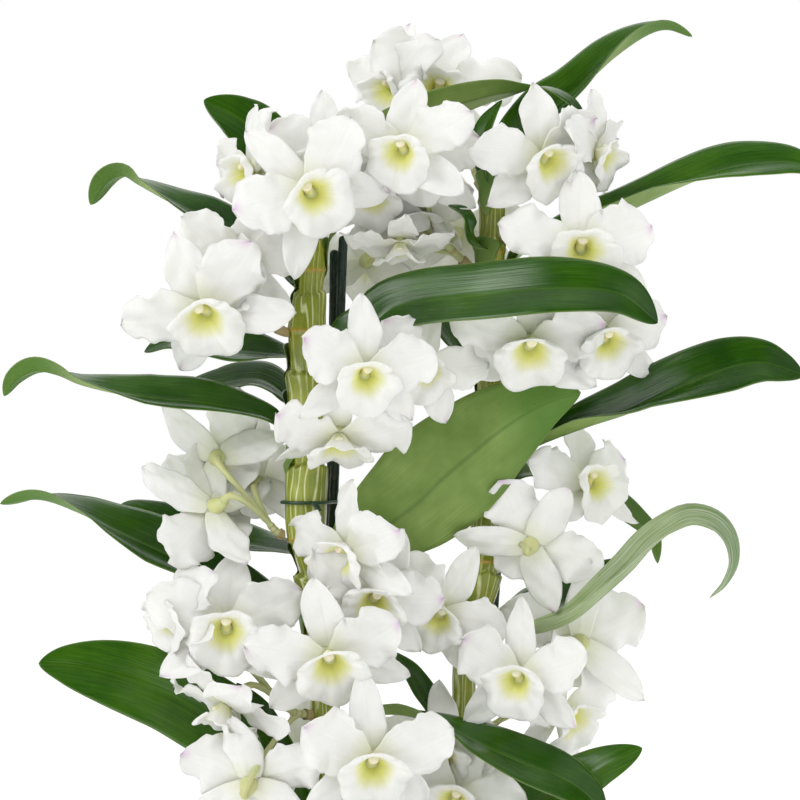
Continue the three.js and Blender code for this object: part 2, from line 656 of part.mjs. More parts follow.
/** One bloom and its pedicel as a single closed body, in the plant's frame. */
function bloomSolid(frame, curve, seed) {
  const points = [];
  const index = [];
  const add = (list) => list.map((p) => points.push(p) - 1);
  const place = (list) => add(list.map((p) => p.clone().applyMatrix4(frame)));
  const quad = (a, b, c, d) => index.push(a, b, c, a, c, d);

  const corners = (end) => TEPALS.flatMap(({ at, base }) => [RECEPTACLE.spread, -RECEPTACLE.spread]
    .map((spread) => polar(at + spread, RECEPTACLE.radius, base[end])));
  const stem = pedicelRings(frame, curve).map(add);
  const chinCentre = new THREE.Vector3(0, CHIN.y, 0);
  stem.push(place(TEPALS.map(({ at }) => polar(at, CHIN.radius, CHIN.z).add(chinCentre))));
  const back = place(corners(0));
  const front = place(corners(1));
  const rim = place(lipRim(seed));
  const throat = place(TEPALS.map(({ at }) => polar(at, THROAT.radius, THROAT.depth)));
  const [column] = place([new THREE.Vector3(...COLUMN_TIP)]);

  const [root] = stem;
  index.push(root[0], root[2], root[1], root[0], root[3], root[2], root[0], root[4], root[3]);
  const chin = stem.at(-1);
  TEPALS.forEach((shape, i) => {
    const next = (i + 1) % 5;
    const [right, left, nextRight] = [2 * i, 2 * i + 1, (2 * i + 2) % 10];
    stem.slice(1).forEach((ringAt, j) => quad(stem[j][i], stem[j][next], ringAt[next], ringAt[i]));
    index.push(chin[i], back[left], back[right]);
    quad(chin[i], chin[next], back[nextRight], back[left]);
    quad(back[left], back[nextRight], front[nextRight], front[left]);
    quad(front[right], front[left], rim[left], rim[right]);
    quad(front[left], front[nextRight], rim[nextRight], rim[left]);
    index.push(rim[right], rim[left], throat[i]);
    quad(rim[left], rim[nextRight], throat[next], throat[i]);
    index.push(throat[i], throat[next], column);

    const { sections, tip } = tepal(shape, seed, i);
    const rings = [[back[right], back[left], front[left], front[right]], ...sections.map(place)];
    const [tipAt] = place([tip]);
    for (let j = 0; j < 4; j++) {
      const k = (j + 1) % 4;
      for (let s = 1; s < rings.length; s++) {
        const corners = [rings[s - 1][k], rings[s][k], rings[s][j], rings[s - 1][j]];
        if (j % 2) corners.unshift(corners.pop());
        quad(...corners);
      }
      index.push(rings.at(-1)[j], rings.at(-1)[k], tipAt);
    }
  });
  const geometry = new THREE.BufferGeometry().setFromPoints(points);
  geometry.setIndex(index);
  return geometry;
}

/** Place of a bloom: its frame's axes and centre. */
function bloomFrame([x, z, depth, turn, tilt, roll, size]) {
  const forward = new THREE.Vector3(
    Math.sin(radians(turn)) * Math.cos(radians(tilt)),
    -Math.cos(radians(turn)) * Math.cos(radians(tilt)),
    Math.sin(radians(tilt)),
  );
  const upright = UP.clone().addScaledVector(forward, -UP.dot(forward)).normalize();
  const right = upright.clone().cross(forward);
  const up = upright.clone().multiplyScalar(Math.cos(radians(roll)));
  up.addScaledVector(right, Math.sin(radians(roll)));
  const across = up.clone().cross(forward);
  const frame = new THREE.Matrix4().makeBasis(across, up, forward).setPosition(seen([x, z, depth]));
  return frame.scale(new THREE.Vector3(size, size, size));
}

/** Peduncle with its blooms, whose pedicels leave it one after another below its tip. */
function spray({ cane: name, node, fork, blooms }) {
  const forkPoint = seen(fork);
  const { point, outward } = seat(name, node, forkPoint);
  const stem = new THREE.QuadraticBezierCurve3(point, point.clone().addScaledVector(outward, 4), forkPoint);
  const solids = [bar(stem, 2, 6, PEDUNCLE_RADIUS, PEDUNCLE_RADIUS * 0.9)];
  blooms.forEach((bloom, i) => {
    const frame = bloomFrame(bloom);
    const place = 1 - (0.08 + (0.6 * i) / blooms.length);
    const root = stem.getPointAt(place);
    const leaving = stem.getTangentAt(place);
    const pedicel = new THREE.CubicBezierCurve3(
      root,
      root.clone().addScaledVector(leaving, 9),
      new THREE.Vector3(0, 0, -22).applyMatrix4(frame),
      new THREE.Vector3(0, CHIN.y, CHIN.z).applyMatrix4(frame),
    );
    solids.push(bloomSolid(frame, pedicel, i + fork[0]));
  });
  return fused(solids);
}

// ---------------------------------------------------------------------------------------------------
// Pot and bark
// ---------------------------------------------------------------------------------------------------

/** Outer radius of the pot's wall, under its rim band, at a height. */
function potRadius(z) {
  return lerp(POT.baseRadius, POT.rimRadius - POT.rimOut, z / POT.height);
}

function pot() {
  const { height, rimRadius, wall, rimDrop } = POT;
  const band = height - rimDrop;
  return turned([
    [potRadius(0), 0], [potRadius(band), band], [rimRadius, band + 1], [rimRadius, height],
    [potRadius(height) - wall, height], [potRadius(wall) - wall, wall],
  ], POT.sides);
}

/** Bark mix: fills the pot to below its rim, with a lumpy top and a hole for each cane and stake. */
function bark() {
  const { edge, crown, roughness, sides, rings } = BARK;
  const foot = POT.wall + GAP;
  const facet = Math.cos(Math.PI / POT.sides);
  const radiusAt = (z) => (potRadius(z) - POT.wall) * facet - GAP;
  const xAxis = new THREE.Vector3(1, 0, 0);
  const yAxis = new THREE.Vector3(0, 1, 0);
  const side = [foot, edge].map((z) => ring(new THREE.Vector3(0, 0, z), radiusAt(z), sides, xAxis, yAxis));
  const top = rings.map((share, i) => {
    const z = lerp(crown, edge, share);
    const circle = ring(new THREE.Vector3(0, 0, z), radiusAt(edge) * share, sides, xAxis, yAxis);
    circle.forEach((p, j) => { p.z += roughness * wobble(i + 1, j); });
    return circle;
  });
  const solid = loft([...side, ...top], {
    start: new THREE.Vector3(0, 0, foot), end: new THREE.Vector3(0, 0, crown),
  });
  const canes = Object.values(CANES).map((spec) => cane(spec, GAP + 0.2));
  const stakes = Object.values(STAKES).map((ends) => stake(ends, STAKE_RADIUS + GAP));
  return cut(solid, [...canes, ...stakes]);
}

// ---------------------------------------------------------------------------------------------------
// The plant
// ---------------------------------------------------------------------------------------------------

const orchid = new THREE.Group();

function addPiece(name, geometry, finish) {
  geometry.computeVertexNormals();
  const mesh = new THREE.Mesh(geometry, FINISH[finish]);
  mesh.name = name;
  orchid.add(mesh);
}

addPiece('pot', pot(), 'pot');
addPiece('bark', bark(), 'bark');
for (const [side, spec] of Object.entries(CANES)) addPiece(`cane_${side}`, cane(spec), 'cane');
for (const [name, ends] of Object.entries(STAKES)) addPiece(name, stake(ends), 'stake');
for (const [name, spec] of Object.entries(TIES)) addPiece(name, tie(spec), 'tie');
for (const [name, spec] of Object.entries(LEAVES)) addPiece(name, leaf(spec), 'leaf');
for (const [name, spec] of Object.entries(SPRAYS)) addPiece(name, spray(spec), 'bloom');

export default orchid;
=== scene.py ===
"""Dendrobium orchid in its pot: two leafy canes with sprays of white blooms, held by slim stakes.

Sizes in the tables are millimetres in the frame of the CAD model: +Z up, the front looks along -Y, and
the origin is the centre of the pot's underside. Meshes are made in metres.
"""

import math
from typing import NamedTuple

import bmesh
import bpy
import numpy as np
from bpy.props import FloatProperty, IntProperty, PointerProperty
from bpy.types import Operator, Panel, PropertyGroup
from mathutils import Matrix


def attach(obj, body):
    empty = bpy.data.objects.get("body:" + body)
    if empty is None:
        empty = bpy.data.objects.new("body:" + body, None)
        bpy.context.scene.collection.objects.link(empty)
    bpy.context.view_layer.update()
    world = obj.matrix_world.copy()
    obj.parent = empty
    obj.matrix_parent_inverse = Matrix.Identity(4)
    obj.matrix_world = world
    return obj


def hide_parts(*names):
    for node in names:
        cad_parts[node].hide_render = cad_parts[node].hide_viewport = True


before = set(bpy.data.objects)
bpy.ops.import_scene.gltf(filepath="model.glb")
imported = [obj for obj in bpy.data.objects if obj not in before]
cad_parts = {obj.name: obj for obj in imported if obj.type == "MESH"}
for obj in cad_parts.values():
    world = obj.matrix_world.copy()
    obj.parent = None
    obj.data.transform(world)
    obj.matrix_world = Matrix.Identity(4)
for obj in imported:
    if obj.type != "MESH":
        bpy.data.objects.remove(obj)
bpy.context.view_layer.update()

bl_info = {
    "name": "Dendrobium orchid",
    "version": (1, 0, 0),
    "blender": (4, 5, 0),
    "location": "3D Viewport > Sidebar > Orchid",
    "description": "Builds a potted dendrobium orchid over its CAD frame",
    "category": "Object",
}

# ---- Sizes ----
# They are those of the CAD model, apart from the leaves with a fold of their own and leaf_left_13, which
# turn further or are wider here, and the second bloom of spray_left_08, which lies a little lower.

MM = 0.001
SEAM = 1e-7  # metres; points of one mesh that are nearer than this are joined
GAP = 0.3  # from a cane to what grows out of it
UP = np.array([0.0, 0.0, 1.0])
FRONT = np.array([0.0, -1.0, 0.0])

# The layout is an elevation on the upright plane y = 0, as seen from this far in front of it and this
# high. The third value of a point is its depth behind (+) that plane.
EYE_DISTANCE = 1550
EYE_HEIGHT = 363
VIEW_WIDTH = 416  # width of the camera's view on the plane y = 0

POT = {"height": 110, "rim_radius": 62, "base_radius": 46, "wall": 2.2, "rim_drop": 13, "rim_out": 2.4}
POT_FOOT = {"width": 5, "height": 1.2}

# Heights of the bark at its edge and crown, how far the bed under the chips is sunk below them, its lumps
# and thickness, and the play between it and the pot.
BARK = {"edge": 97, "crown": 102, "sunk": 2.4, "lump": 0.8, "thickness": 14, "play": 1.0}

# A cane's depth, the heights of its nodes, where its papery sheaths run from and to, and its outline as
# [x, height, radius].
CANE_FACETS = 8
CANE_RELIEF = {"skin": 0.3, "furrow": 0.2, "lump": 0.2, "ring": 0.45, "ring_width": 0.8, "tear": 1.5}
CANES = {
    "left": {
        "depth": -4,
        "nodes": [110, 155, 197.5, 290, 346, 399, 431],
        "sheaths": [(112, 185.5), (199, 272.5), (291, 330.7), (347, 377.7), (400, 419.7)],
        "stations": [
            [-22, 32, 5], [-24, 70, 8], [-27, 110, 9.5], [-30, 150, 9.6], [-34, 172, 9.3],
            [-37, 185, 10], [-37.4, 186, 6.4], [-38.6, 194, 7], [-39, 197, 8.4], [-39, 205, 8],
            [-39, 233, 9.6], [-42, 262, 11.2], [-43.4, 272, 12.6], [-43.8, 273, 8.4], [-48, 287, 8.8],
            [-49, 290, 10.6], [-49, 305, 11], [-48.4, 330, 11.4], [-48.4, 331.5, 9], [-48, 346, 10.2],
            [-48, 367, 10.8], [-47.8, 377, 12.4], [-47.8, 378.4, 9.6], [-48.6, 397, 10],
            [-48.9, 399, 10.6], [-47.8, 408, 9.4], [-46.8, 419, 8.8], [-46.6, 420.4, 6.4],
            [-46, 431, 7.3], [-45.2, 441, 6.2], [-44, 446, 4.2], [-43, 449, 3],
        ],
    },
    "right": {
        "depth": 12,
        "nodes": [110, 155, 197, 244, 279, 347, 394, 440],
        "sheaths": [(112, 153), (198, 231.5), (245, 273.7), (293, 333.6), (395, 429.2), (441, 447.7)],
        "stations": [
            [24, 32, 4.4], [25, 70, 6.4], [27.5, 110, 7.4], [30, 150, 7.2], [32.8, 197, 6.4],
            [33.6, 229, 6.4], [33.8, 232, 7], [34, 234, 5.8], [36, 244, 7], [39, 257, 10],
            [42.6, 273, 11.6], [43, 274.4, 8.6], [44, 279, 9.8], [44.8, 289, 9.6], [45.4, 292, 9.8],
            [46.6, 306, 9.2], [48.4, 330, 9], [48.8, 333, 9.6], [48.9, 334.4, 7.8], [48.9, 347, 8],
            [46.6, 380, 7.6], [45.2, 394, 7.6], [46.2, 428, 7.2], [46.4, 430, 7.8], [47, 440, 8],
            [47.6, 447, 8.4], [47.8, 448.4, 6.8], [48, 464, 7.4], [48, 466, 8], [47.4, 470, 6.6],
            [46.8, 480, 5.6], [46.6, 486, 3.4],
        ],
    },
}

STAKE_RADIUS = 2.5
STAKE_RINGS = {"apart": 9, "height": 0.16}
STAKES = {
    "stake_front": [[-44, 14, 55], [-29.6, 7, 449]],
    "stake_back": [[-40, 23, 55], [-34.4, 14, 442]],
    "stake_right": [[36, 28, 55], [60, 23, 402]],
}

TIE_WIRE = 0.9
TIE_ENDS = {"wire": 0.62, "twist": 0.8, "reach": np.array([3.0, -7.0, -3.0])}
TIES = {
    "tie_left": {"height": 310, "cane": "left", "stakes": ["stake_front", "stake_back"]},
    "tie_right": {"height": 386, "cane": "right", "stakes": ["stake_right"]},
}

LEAF_FOLD = [24, 20, 17, 12]
LEAF_RELIEF = {"groove": 0.4, "keel": 0.55, "wave": 1.1, "ripple": 0.35}
CLASP = {"below": 17, "above": 3, "thickness": 0.7, "mouth": 4, "spread": (8, 56)}  # foot of a leaf


class Leaf(NamedTuple):
    """A leaf, which grows from the cane that its name says; lists run from its foot to its tip."""

    base: float  # height of its foot on the cane
    width: float
    face: list  # degrees that its upper face turns towards the front
    midrib: list  # drawn points
    taper: float = 2.4  # a higher one keeps the blade wide nearer to its tip
    fold: list = LEAF_FOLD  # degrees that its halves rise from the midrib
    gap: float = GAP
    tone: float = 0.25  # 0 is dark and grown, 1 is fresh green
    pale: float = 0.0  # 1 makes the upper face as pale as the lower, and towards 2 lays pale grey lengthwise streaks over both, a painted highlight


LEAVES = {
    "leaf_left_01": Leaf(153, 45, [66, 70, 72, 72], [
        [-55, 158, 7], [-64, 168, 10], [-82, 186, 11], [-111, 205, 9], [-130, 214, 6], [-152, 221, 4],
        [-173, 225, 2], [-188, 226, 0],
    ], taper=3, gap=0.8, tone=0.9),
    "leaf_left_02": Leaf(112, 24, [20, 40, 40], [
        [-49, 134, -12], [-60, 168, -13], [-72, 198, -11], [-85, 216, -8],
    ]),
    "leaf_left_03": Leaf(190, 34, [-20, -12, 30, 50, 60], [
        [-19, 198, -14], [0, 200, -22], [21, 194, -28], [42, 184, -33], [62, 175, -34], [83, 167, -33],
        [97, 158, -28], [107, 146, -26],
    ], taper=3),
    "leaf_left_04": Leaf(252, 40, [40, 38, 40, 8, -24], [
        [-64, 256, -2], [-83, 266, 5], [-111, 279, 9], [-132, 289, 9], [-150, 297, 7], [-166, 305, 3],
        [-187, 312, -4], [-208, 309, -6],
    ], taper=3, fold=[24, 30, 32, 20, 16]),
    "leaf_left_05": Leaf(283, 30, [34, 36, 32], [
        [-76, 287, 31], [-104, 294, 40], [-125, 302, 44], [-140, 307, 45], [-149, 305, 46],
    ]),
    "leaf_left_06": Leaf(282, 64, [-60, -84, -70], [
        [-18, 291, -17], [6, 307, -21], [22, 322, -23], [35, 333, -23], [52, 347, -21], [73, 360, -17],
        [94, 367, -12],
    ], taper=1.6, gap=0.75),
    "leaf_left_07": Leaf(342, 32, [30, 32, 34, 4, -50], [
        [-68, 354, -10], [-97, 361.5, -14], [-125, 364.5, -17], [-146, 367.5, -18], [-166, 372, -19],
        [-178, 377, -20], [-190, 379, -21], [-200, 374, -22], [-206, 365, -23],
    ], taper=3, fold=[24, 30, 30, 20, 24]),
    "leaf_left_08": Leaf(362, 30, [40, 40, 35], [
        [-74, 373, 22], [-98, 370, 38], [-120, 363, 48],
    ]),
    "leaf_left_09": Leaf(384, 38, [60, 60, 56], [
        [-28, 397, -19], [-14, 403.5, -23], [0, 412, -27], [42, 417.5, -49.5], [83, 421, -60],
        [114, 418, -58], [134, 403, -52],
    ], taper=3.6),
    "leaf_left_10": Leaf(386, 30, [35, 35, 32], [
        [-70, 387, 12], [-97, 390, 20], [-118, 393, 24], [-133, 388, 26],
    ]),
    "leaf_left_11": Leaf(422, 32, [30, 34, 30, 4, -52], [
        [-69, 438, 12], [-83, 448.5, 17], [-100, 458, 22], [-119, 467, 26], [-135, 475.5, 28],
        [-144, 480.5, 28], [-153, 476.5, 28], [-161, 464.5, 28],
    ], taper=3, fold=[24, 30, 30, 20, 24]),
    "leaf_left_12": Leaf(436, 40, [60, 72, 70], [
        [-57, 452, 20], [-66, 480, 32], [-74, 500, 36], [-85, 510, 36], [-102, 519, 36],
    ]),
    "leaf_left_13": Leaf(441, 26, [-40, -46, -48, -20, 42], [
        [-33, 456, 5], [-30, 476, 10], [-21, 492, 16], [-7, 501, 20], [8, 508, 20], [21, 514, 19],
        [42, 520.5, 17], [61, 524, 14], [75, 524.5, 10], [87, 519, 7], [96, 510, 4],
    ], taper=3),
    "leaf_right_01": Leaf(118, 24, [45, 50, 40], [
        [50, 130, 18], [64, 150, 20], [80, 157, 21], [98, 150, 22],
    ]),
    "leaf_right_02": Leaf(132, 31, [50, 60, 55], [
        [56, 149, 2], [83, 159.5, -8], [107, 173, -14], [126, 182, -14],
    ], tone=1),
    "leaf_right_03": Leaf(188, 18, [35, 40, 30], [
        [18, 200, 6], [8, 217, 8], [-3, 232, 10],
    ]),
    "leaf_right_04": Leaf(236, 28, [10, 14, 18, 26, 26], [
        [55, 242, -4], [72, 244, -11], [89, 251, -14], [104, 263.5, -15], [118, 276, -15],
        [130, 288.5, -14], [142, 297, -13], [152, 301, -12], [163, 298.5, -11], [170, 290.5, -10],
        [172, 279, -9], [168, 268, -8], [161, 260, -6],
    ], taper=3, fold=[24, 52, 48, 24, 16], gap=-0.3, pale=1.8),
    "leaf_right_05": Leaf(250, 34, [50, 56, 50], [
        [55, 248, 14], [69, 250, 28], [86, 259, 46], [103, 271, 54], [113, 280, 56],
    ]),
    "leaf_right_06": Leaf(320, 26, [40, 42, 38], [
        [65, 325, 20], [80, 323, 38], [95, 318, 50], [111, 309, 57], [122, 301, 59], [131, 292, 59],
        [134, 278, 58],
    ], pale=0.45),
    "leaf_right_07": Leaf(331, 40, [30, 30, 36, 58, 70], [
        [63, 337, 9], [78, 345, 8], [97, 353, 3], [118, 359.5, -4], [132, 365.5, -8],
        [152, 373.5, -12], [173, 380.5, -12], [187, 382.5, -12], [198, 380, -11], [210, 375.5, -10],
    ], taper=3, fold=[60, 60, 42, 20, 12]),
    "leaf_right_08": Leaf(374, 26, [30, 36, 30], [
        [30, 390, 30], [14, 412, 40], [-4, 432, 44],
    ]),
    "leaf_right_09": Leaf(428, 38, [20, 10, 26, 44, 50], [
        [61, 438, 14], [72, 445, 12], [91, 455, 10], [111, 462, 10], [132, 471.5, 10], [152, 479, 10],
        [173, 485, 10], [194, 487, 9], [208, 485.5, 7], [219, 479, 6],
    ], taper=3, fold=[24, 50, 48, 24, 14], tone=0.8),
    "leaf_right_10": Leaf(441, 16, [30, 34, 30], [
        [37, 448, -10], [33, 459, -18], [25, 464, -23],
    ]),
    "leaf_right_11": Leaf(476, 18, [30, 34, 30], [
        [43, 491, 3], [45, 505, 1], [53, 519, 2],
    ]),
    "leaf_right_12": Leaf(478, 38, [60, 56, 46, 20, -10], [
        [55, 493, 22], [72, 511, 28], [90, 525, 32], [109, 543, 34], [126, 554.5, 35],
        [139, 557.5, 36], [152, 552, 36],
    ], taper=3, fold=[30, 44, 46, 40, 30], tone=0.6),
}

# A spray, on the cane that its name says: height of its peduncle, the point where it divides, and its
# blooms. A bloom is [x, z, depth, turn to the right, tilt up, roll clockwise, size], with its angles in
# degrees, and turn 0 faces the front.
SPRAYS = {
    "spray_left_01": (165, [-26, 172, -20], [[-15, 176, -57, 8, -10, 0, 1.1]]),
    "spray_left_02": (200, [-57, 201, -18], [
        [-90, 244, -34, 0, 10, 0, 1.1], [-113, 250, -24, -60, 10, -20, 0.9],
        [-89, 206, -28, -60, -50, 0, 1], [-78, 164, -34, 160, 20, 0, 1.05],
    ]),
    "spray_left_03": (200, [-48, 188, 22], [[-53, 173, 30, 200, 10, 0, 0.95]]),
    "spray_left_04": (276, [-34, 268, -20], [
        [-26, 284, -42, -40, -5, 0, 1], [-14, 261, -38, 8, -10, 20, 1],
        [-37, 230, -48, 5, -15, -12, 1.1],
    ]),
    "spray_left_05": (293, [-68, 299, -8], [
        [-95, 333, 4, 170, -5, 51, 1], [-97, 307, -10, -150, -35, 60, 1.05],
        [-75, 321, 18, 175, 0, 0, 0.9],
    ]),
    "spray_left_06": (352, [-28, 362, -20], [
        [-19, 377, -62.5, 14, -5, 4, 0.98], [-32, 346, -34, 5, -50, 0, 1],
        [11, 380, -40, 20, 0, 20, 0.88],
    ]),
    "spray_left_07": (398, [-75, 408, -16], [
        [-82, 435, -26, -8, 0, 15, 0.95], [-100, 411, -34, -15, -20, -28, 1.15],
        [-93, 428, -14, -60, 15, 0, 0.9],
    ]),
    "spray_left_08": (446, [-46, 458, -6], [
        [-47, 471, -48, 5, 0, -40, 1.1], [-37, 487, -2, 0, 10, 0, 1], [-75, 482, -4, -60, 0, -20, 1],
    ]),
    "spray_right_01": (165, [26, 172, -2], [
        [22, 180, -4, -5, -5, 0, 0.95], [29, 156, -16, -5, 5, 20, 1],
    ]),
    "spray_right_02": (192, [49, 194, -2], [
        [63, 219, -34, -20, 0, 3, 1], [93, 237, 4, 186, 0, 0, 1.1], [83, 201, -4, 50, -10, 0, 1.1],
    ]),
    "spray_right_03": (256, [28, 256, -8], [[21, 253, -15, -5, -10, 35, 0.95]]),
    "spray_right_04": (281, [58, 286, 4], [
        [68, 288, -9, 178, 10, -40, 1], [96, 319, 14, 40, 20, 0, 1],
    ]),
    "spray_right_05": (396, [60, 400, -8], [
        [67, 393, -34, 5, -20, 5, 1.1], [105, 396, -20, 20, -10, 0, 1],
    ]),
    "spray_right_06": (430, [18, 451, -4], [
        [3, 493, -40, -20, 0, 0, 1], [10, 484, -16, 8, 0, 0, 0.92], [-14, 471, -15, 0, -15, 0, 0.88],
        [6, 460, -1, 20, -25, 0, 0.95], [0, 446, -14, 0, -70, 0, 0.8], [29, 449, 32, 180, 0, 0, 0.95],
        [-17, 435, 25, 170, -20, 0, 0.95],
    ]),
    "spray_right_07": (446, [62, 446, -4], [[93, 441, -30, 10, 10, 0, 1.1]]),
    "spray_right_08": (466, [60, 474, -6], [
        [73, 489, -18, 30, -5, -13, 1.05], [100, 491, 0, 65, 0, 0, 0.9],
    ]),
    "spray_right_09": (472, [36, 490, 34], [
        [20, 522, 50, 0, 20, 15, 1.15], [-1, 525, 56, -55, 5, -10, 1],
    ]),
}

# A bloom of size 1 in its own frame: x to the viewer's right, y towards the dorsal sepal, z forward. A
# tepal's outline is what blade_outline takes.
RECEPTACLE_RADIUS = 4.4
SEPAL = {
    "length": 38.5, "width": 18, "lift": 0.1, "curl": 0.2, "cup": 0.16, "middle": -1.5,
    "outline": (0.46, 0.45, 1, 2.3, 0.76), "ruffle": 0.4, "twist": 0.7, "sway": 4.5, "blush": 0.7,
}
PETAL = {
    "length": 38.5, "width": 27, "lift": 0.22, "curl": 0.2, "cup": 0.08, "middle": 1.5,
    "outline": (0.56, 0.2, 1.15, 2.2, 0.66), "ruffle": 1.0, "twist": 0.4, "sway": 2.5, "blush": 1.0,
}
TEPAL_RELIEF = {"vein": 0.45, "rib": 0.1, "dimples": (0.8, 0.42, 0.14)}
TEPALS = [(SEPAL, 0), (PETAL, -67), (SEPAL, -126), (SEPAL, 126), (PETAL, 67)]
LIP = {"width": 17, "above": 10, "below": 17, "centre": -4, "forward": 12, "droop": 5}
THROAT = {"radius": 3.1, "depth": 3.4}
COLUMN_TIP = np.array([0, 3.4, 9.5])
CHIN = {"radius": 2.6, "y": -2.6, "z": -8}
PEDUNCLE_RADIUS = 2.3
PEDUNCLE_RINGS = (0.3, 0.55, 0.8)
PEDICEL_RADIUS = 1.4

# Rows and columns of points
POT_SIDES = 128
BARK_GRID = (30, 96)
CHIP_RINGS = 25  # of the bark's rows, from the middle, that chips lie on
CANE_STEP, CANE_COLUMNS = 0.9, 88
LEAF_GRID = (68, 15)
CLASP_GRID = (24, 17)
TEPAL_GRID = (22, 15)
LIP_GRID = (64, 17)


# ---- Geometry helpers ----


def lerp(a, b, t):
    return a + (b - a) * t


def unit(v):
    return v / np.linalg.norm(v, axis=-1, keepdims=True)


def smooth(edge0, edge1, x):
    t = np.clip((x - edge0) / (edge1 - edge0), 0, 1)
    return t * t * (3 - 2 * t)


def bell(x, centre, width):
    return np.exp(-(((x - centre) / width) ** 2))


def turns(count):
    """Angles evenly round a circle."""
    return np.linspace(0, 2 * math.pi, count, endpoint=False)


def outwards(angle):
    """Level directions at angles from the x axis."""
    return np.stack([np.cos(angle), np.sin(angle), 0 * angle], -1)


def rounded_end(share, least):
    """Radii of a dome over the end of a rod, as its share goes from 0 to 1."""
    return np.sqrt(np.maximum(1 - np.clip(share, 0, 1) ** 2, least))


def blade_outline(u, widest, foot, swell, taper, blunt, least=0.001):
    """Share of the greatest width along a blade: a foot, the widest place and a tapered tip."""
    rising = foot + (1 - foot) * np.sin(0.5 * math.pi * np.minimum(u, widest) / widest) ** swell
    falling = np.maximum(1 - (np.maximum(u - widest, 0) / (1 - widest)) ** taper, least) ** blunt
    return np.where(u < widest, rising, falling)


def both(front, back=None):
    """Rows that run over the front of a sheet and return over its back."""
    return np.concatenate([front, (front if back is None else back)[:, ::-1]], axis=1)


def seen(point):
    """Place of a drawn point [x, z, depth]."""
    x, z, depth = point
    spread = (EYE_DISTANCE + depth) / EYE_DISTANCE
    return np.array([x * spread, depth, EYE_HEIGHT + (z - EYE_HEIGHT) * spread])


def blend(values, u):
    """Values given evenly from the start to the end, at places u."""
    return np.interp(u, np.linspace(0, 1, len(values)), values)


def catmull(points):
    """Curve through points: a function from places 0..1 to positions and slopes."""
    p = np.array(points, float)
    q = np.vstack([2 * p[0] - p[1], p, 2 * p[-1] - p[-2]])

    def at(t):
        place = np.clip(t, 0, 1) * (len(p) - 1)
        i = np.minimum(place.astype(int), len(p) - 2)
        w = (place - i)[:, None]
        leaving = (q[i + 2] - q[i]) / 2
        arriving = (q[i + 3] - q[i + 1]) / 2
        a = -3 * q[i + 1] + 3 * q[i + 2] - 2 * leaving - arriving
        b = 2 * q[i + 1] - 2 * q[i + 2] + leaving + arriving
        return q[i + 1] + leaving * w + a * w**2 + b * w**3, leaving + 2 * a * w + 3 * b * w**2

    return at


def bezier(*points):
    """Bezier curve of its control points, given as catmull gives its curve."""
    p = np.array(points, float)
    n = len(p) - 1

    def at(t):
        t = np.asarray(t, float)[:, None]
        ways = [math.comb(n, k) * t**k * (1 - t) ** (n - k) * p[k] for k in range(n + 1)]
        m = n - 1
        slopes = [math.comb(m, k) * t**k * (1 - t) ** (m - k) * n * (p[k + 1] - p[k]) for k in range(n)]
        return sum(ways), sum(slopes)

    return at


def even(curve, places):
    """Positions, directions and length of a curve at shares of its length."""
    t = np.linspace(0, 1, 801)
    p, _ = curve(t)
    run = np.concatenate([[0], np.cumsum(np.linalg.norm(np.diff(p, axis=0), axis=1))])
    position, slope = curve(np.interp(np.asarray(places) * run[-1], run, t))
    return position, unit(slope), run[-1]


def enclosed(points, faces, first):
    """Six times the volume inside closed faces, which is negative when they face inwards."""
    fans = np.array([(face[0], b, c) for face in faces for b, c in zip(face[1:], face[2:])]) - first
    a, b, c = (points - points.mean(axis=0))[fans].transpose(1, 0, 2)
    return np.sum(a * np.cross(b, c))


class Builder:
    """Collects grids of points into one mesh with material slots, a UV map and named point values."""

    def __init__(self, *values):
        self.points, self.faces, self.slots, self.uvs = [], [], [], []
        self.values = {name: [] for name in values}
        self.count = 0

    def add(self, points, faces, slot, uv, **values):
        """Adds points and faces, with the values of each point."""
        self.faces += faces
        self.slots += [slot] * len(faces)
        self.points.append(points.reshape(-1, 3))
        self.uvs.append(uv.reshape(-1, 2))
        for name, kept in self.values.items():
            value = np.asarray(values.get(name, 0.0), float)
            kept.append(np.broadcast_to(value, points.shape[:2]).reshape(-1))
        self.count += len(self.points[-1])

    def grid(self, points, slot=0, loop=True, caps=True, uv=None, **values):
        """Adds rows of points; loop closes each row on itself, caps close the first and last row."""
        rows, columns = points.shape[:2]
        index = self.count + np.arange(rows * columns).reshape(rows, columns)
        across = np.hstack([index, index[:, :1]]) if loop else index
        quads = np.stack([across[:-1, :-1], across[:-1, 1:], across[1:, 1:], across[1:, :-1]], -1)
        faces = quads.reshape(-1, 4).tolist()
        if caps:
            faces += [index[0][::-1].tolist(), index[-1].tolist()]
        closed = caps or np.allclose(points[0], points[-1])
        if closed and enclosed(points.reshape(-1, 3), faces, self.count) < 0:
            faces = [face[::-1] for face in faces]
        if uv is None:
            uv = np.stack(np.meshgrid(np.linspace(0, 1, columns), np.linspace(0, 1, rows)), -1)
        self.add(points, faces, slot, uv, **values)

    def finish(self, name, materials):
        """Makes the object, in metres."""
        mesh = bpy.data.meshes.new(name)
        mesh.from_pydata((np.vstack(self.points) * MM).tolist(), [], self.faces)
        mesh.polygons.foreach_set("material_index", self.slots)
        mesh.polygons.foreach_set("use_smooth", [True] * len(self.faces))
        corner = np.empty(len(mesh.loops), int)
        mesh.loops.foreach_get("vertex_index", corner)
        mesh.uv_layers.new(name="UVMap").data.foreach_set("uv", np.vstack(self.uvs)[corner].ravel())
        for key, kept in self.values.items():
            layer = mesh.attributes.new(key, "FLOAT", "POINT")
            layer.data.foreach_set("value", np.concatenate(kept))
        for material in materials:
            mesh.materials.append(material)
        mesh.validate()
        joined = bmesh.new()
        joined.from_mesh(mesh)
        bmesh.ops.remove_doubles(joined, verts=joined.verts, dist=SEAM)
        joined.to_mesh(mesh)
        joined.free()
        obj = bpy.data.objects.new(name, mesh)
        bpy.context.scene.collection.objects.link(obj)
        return obj


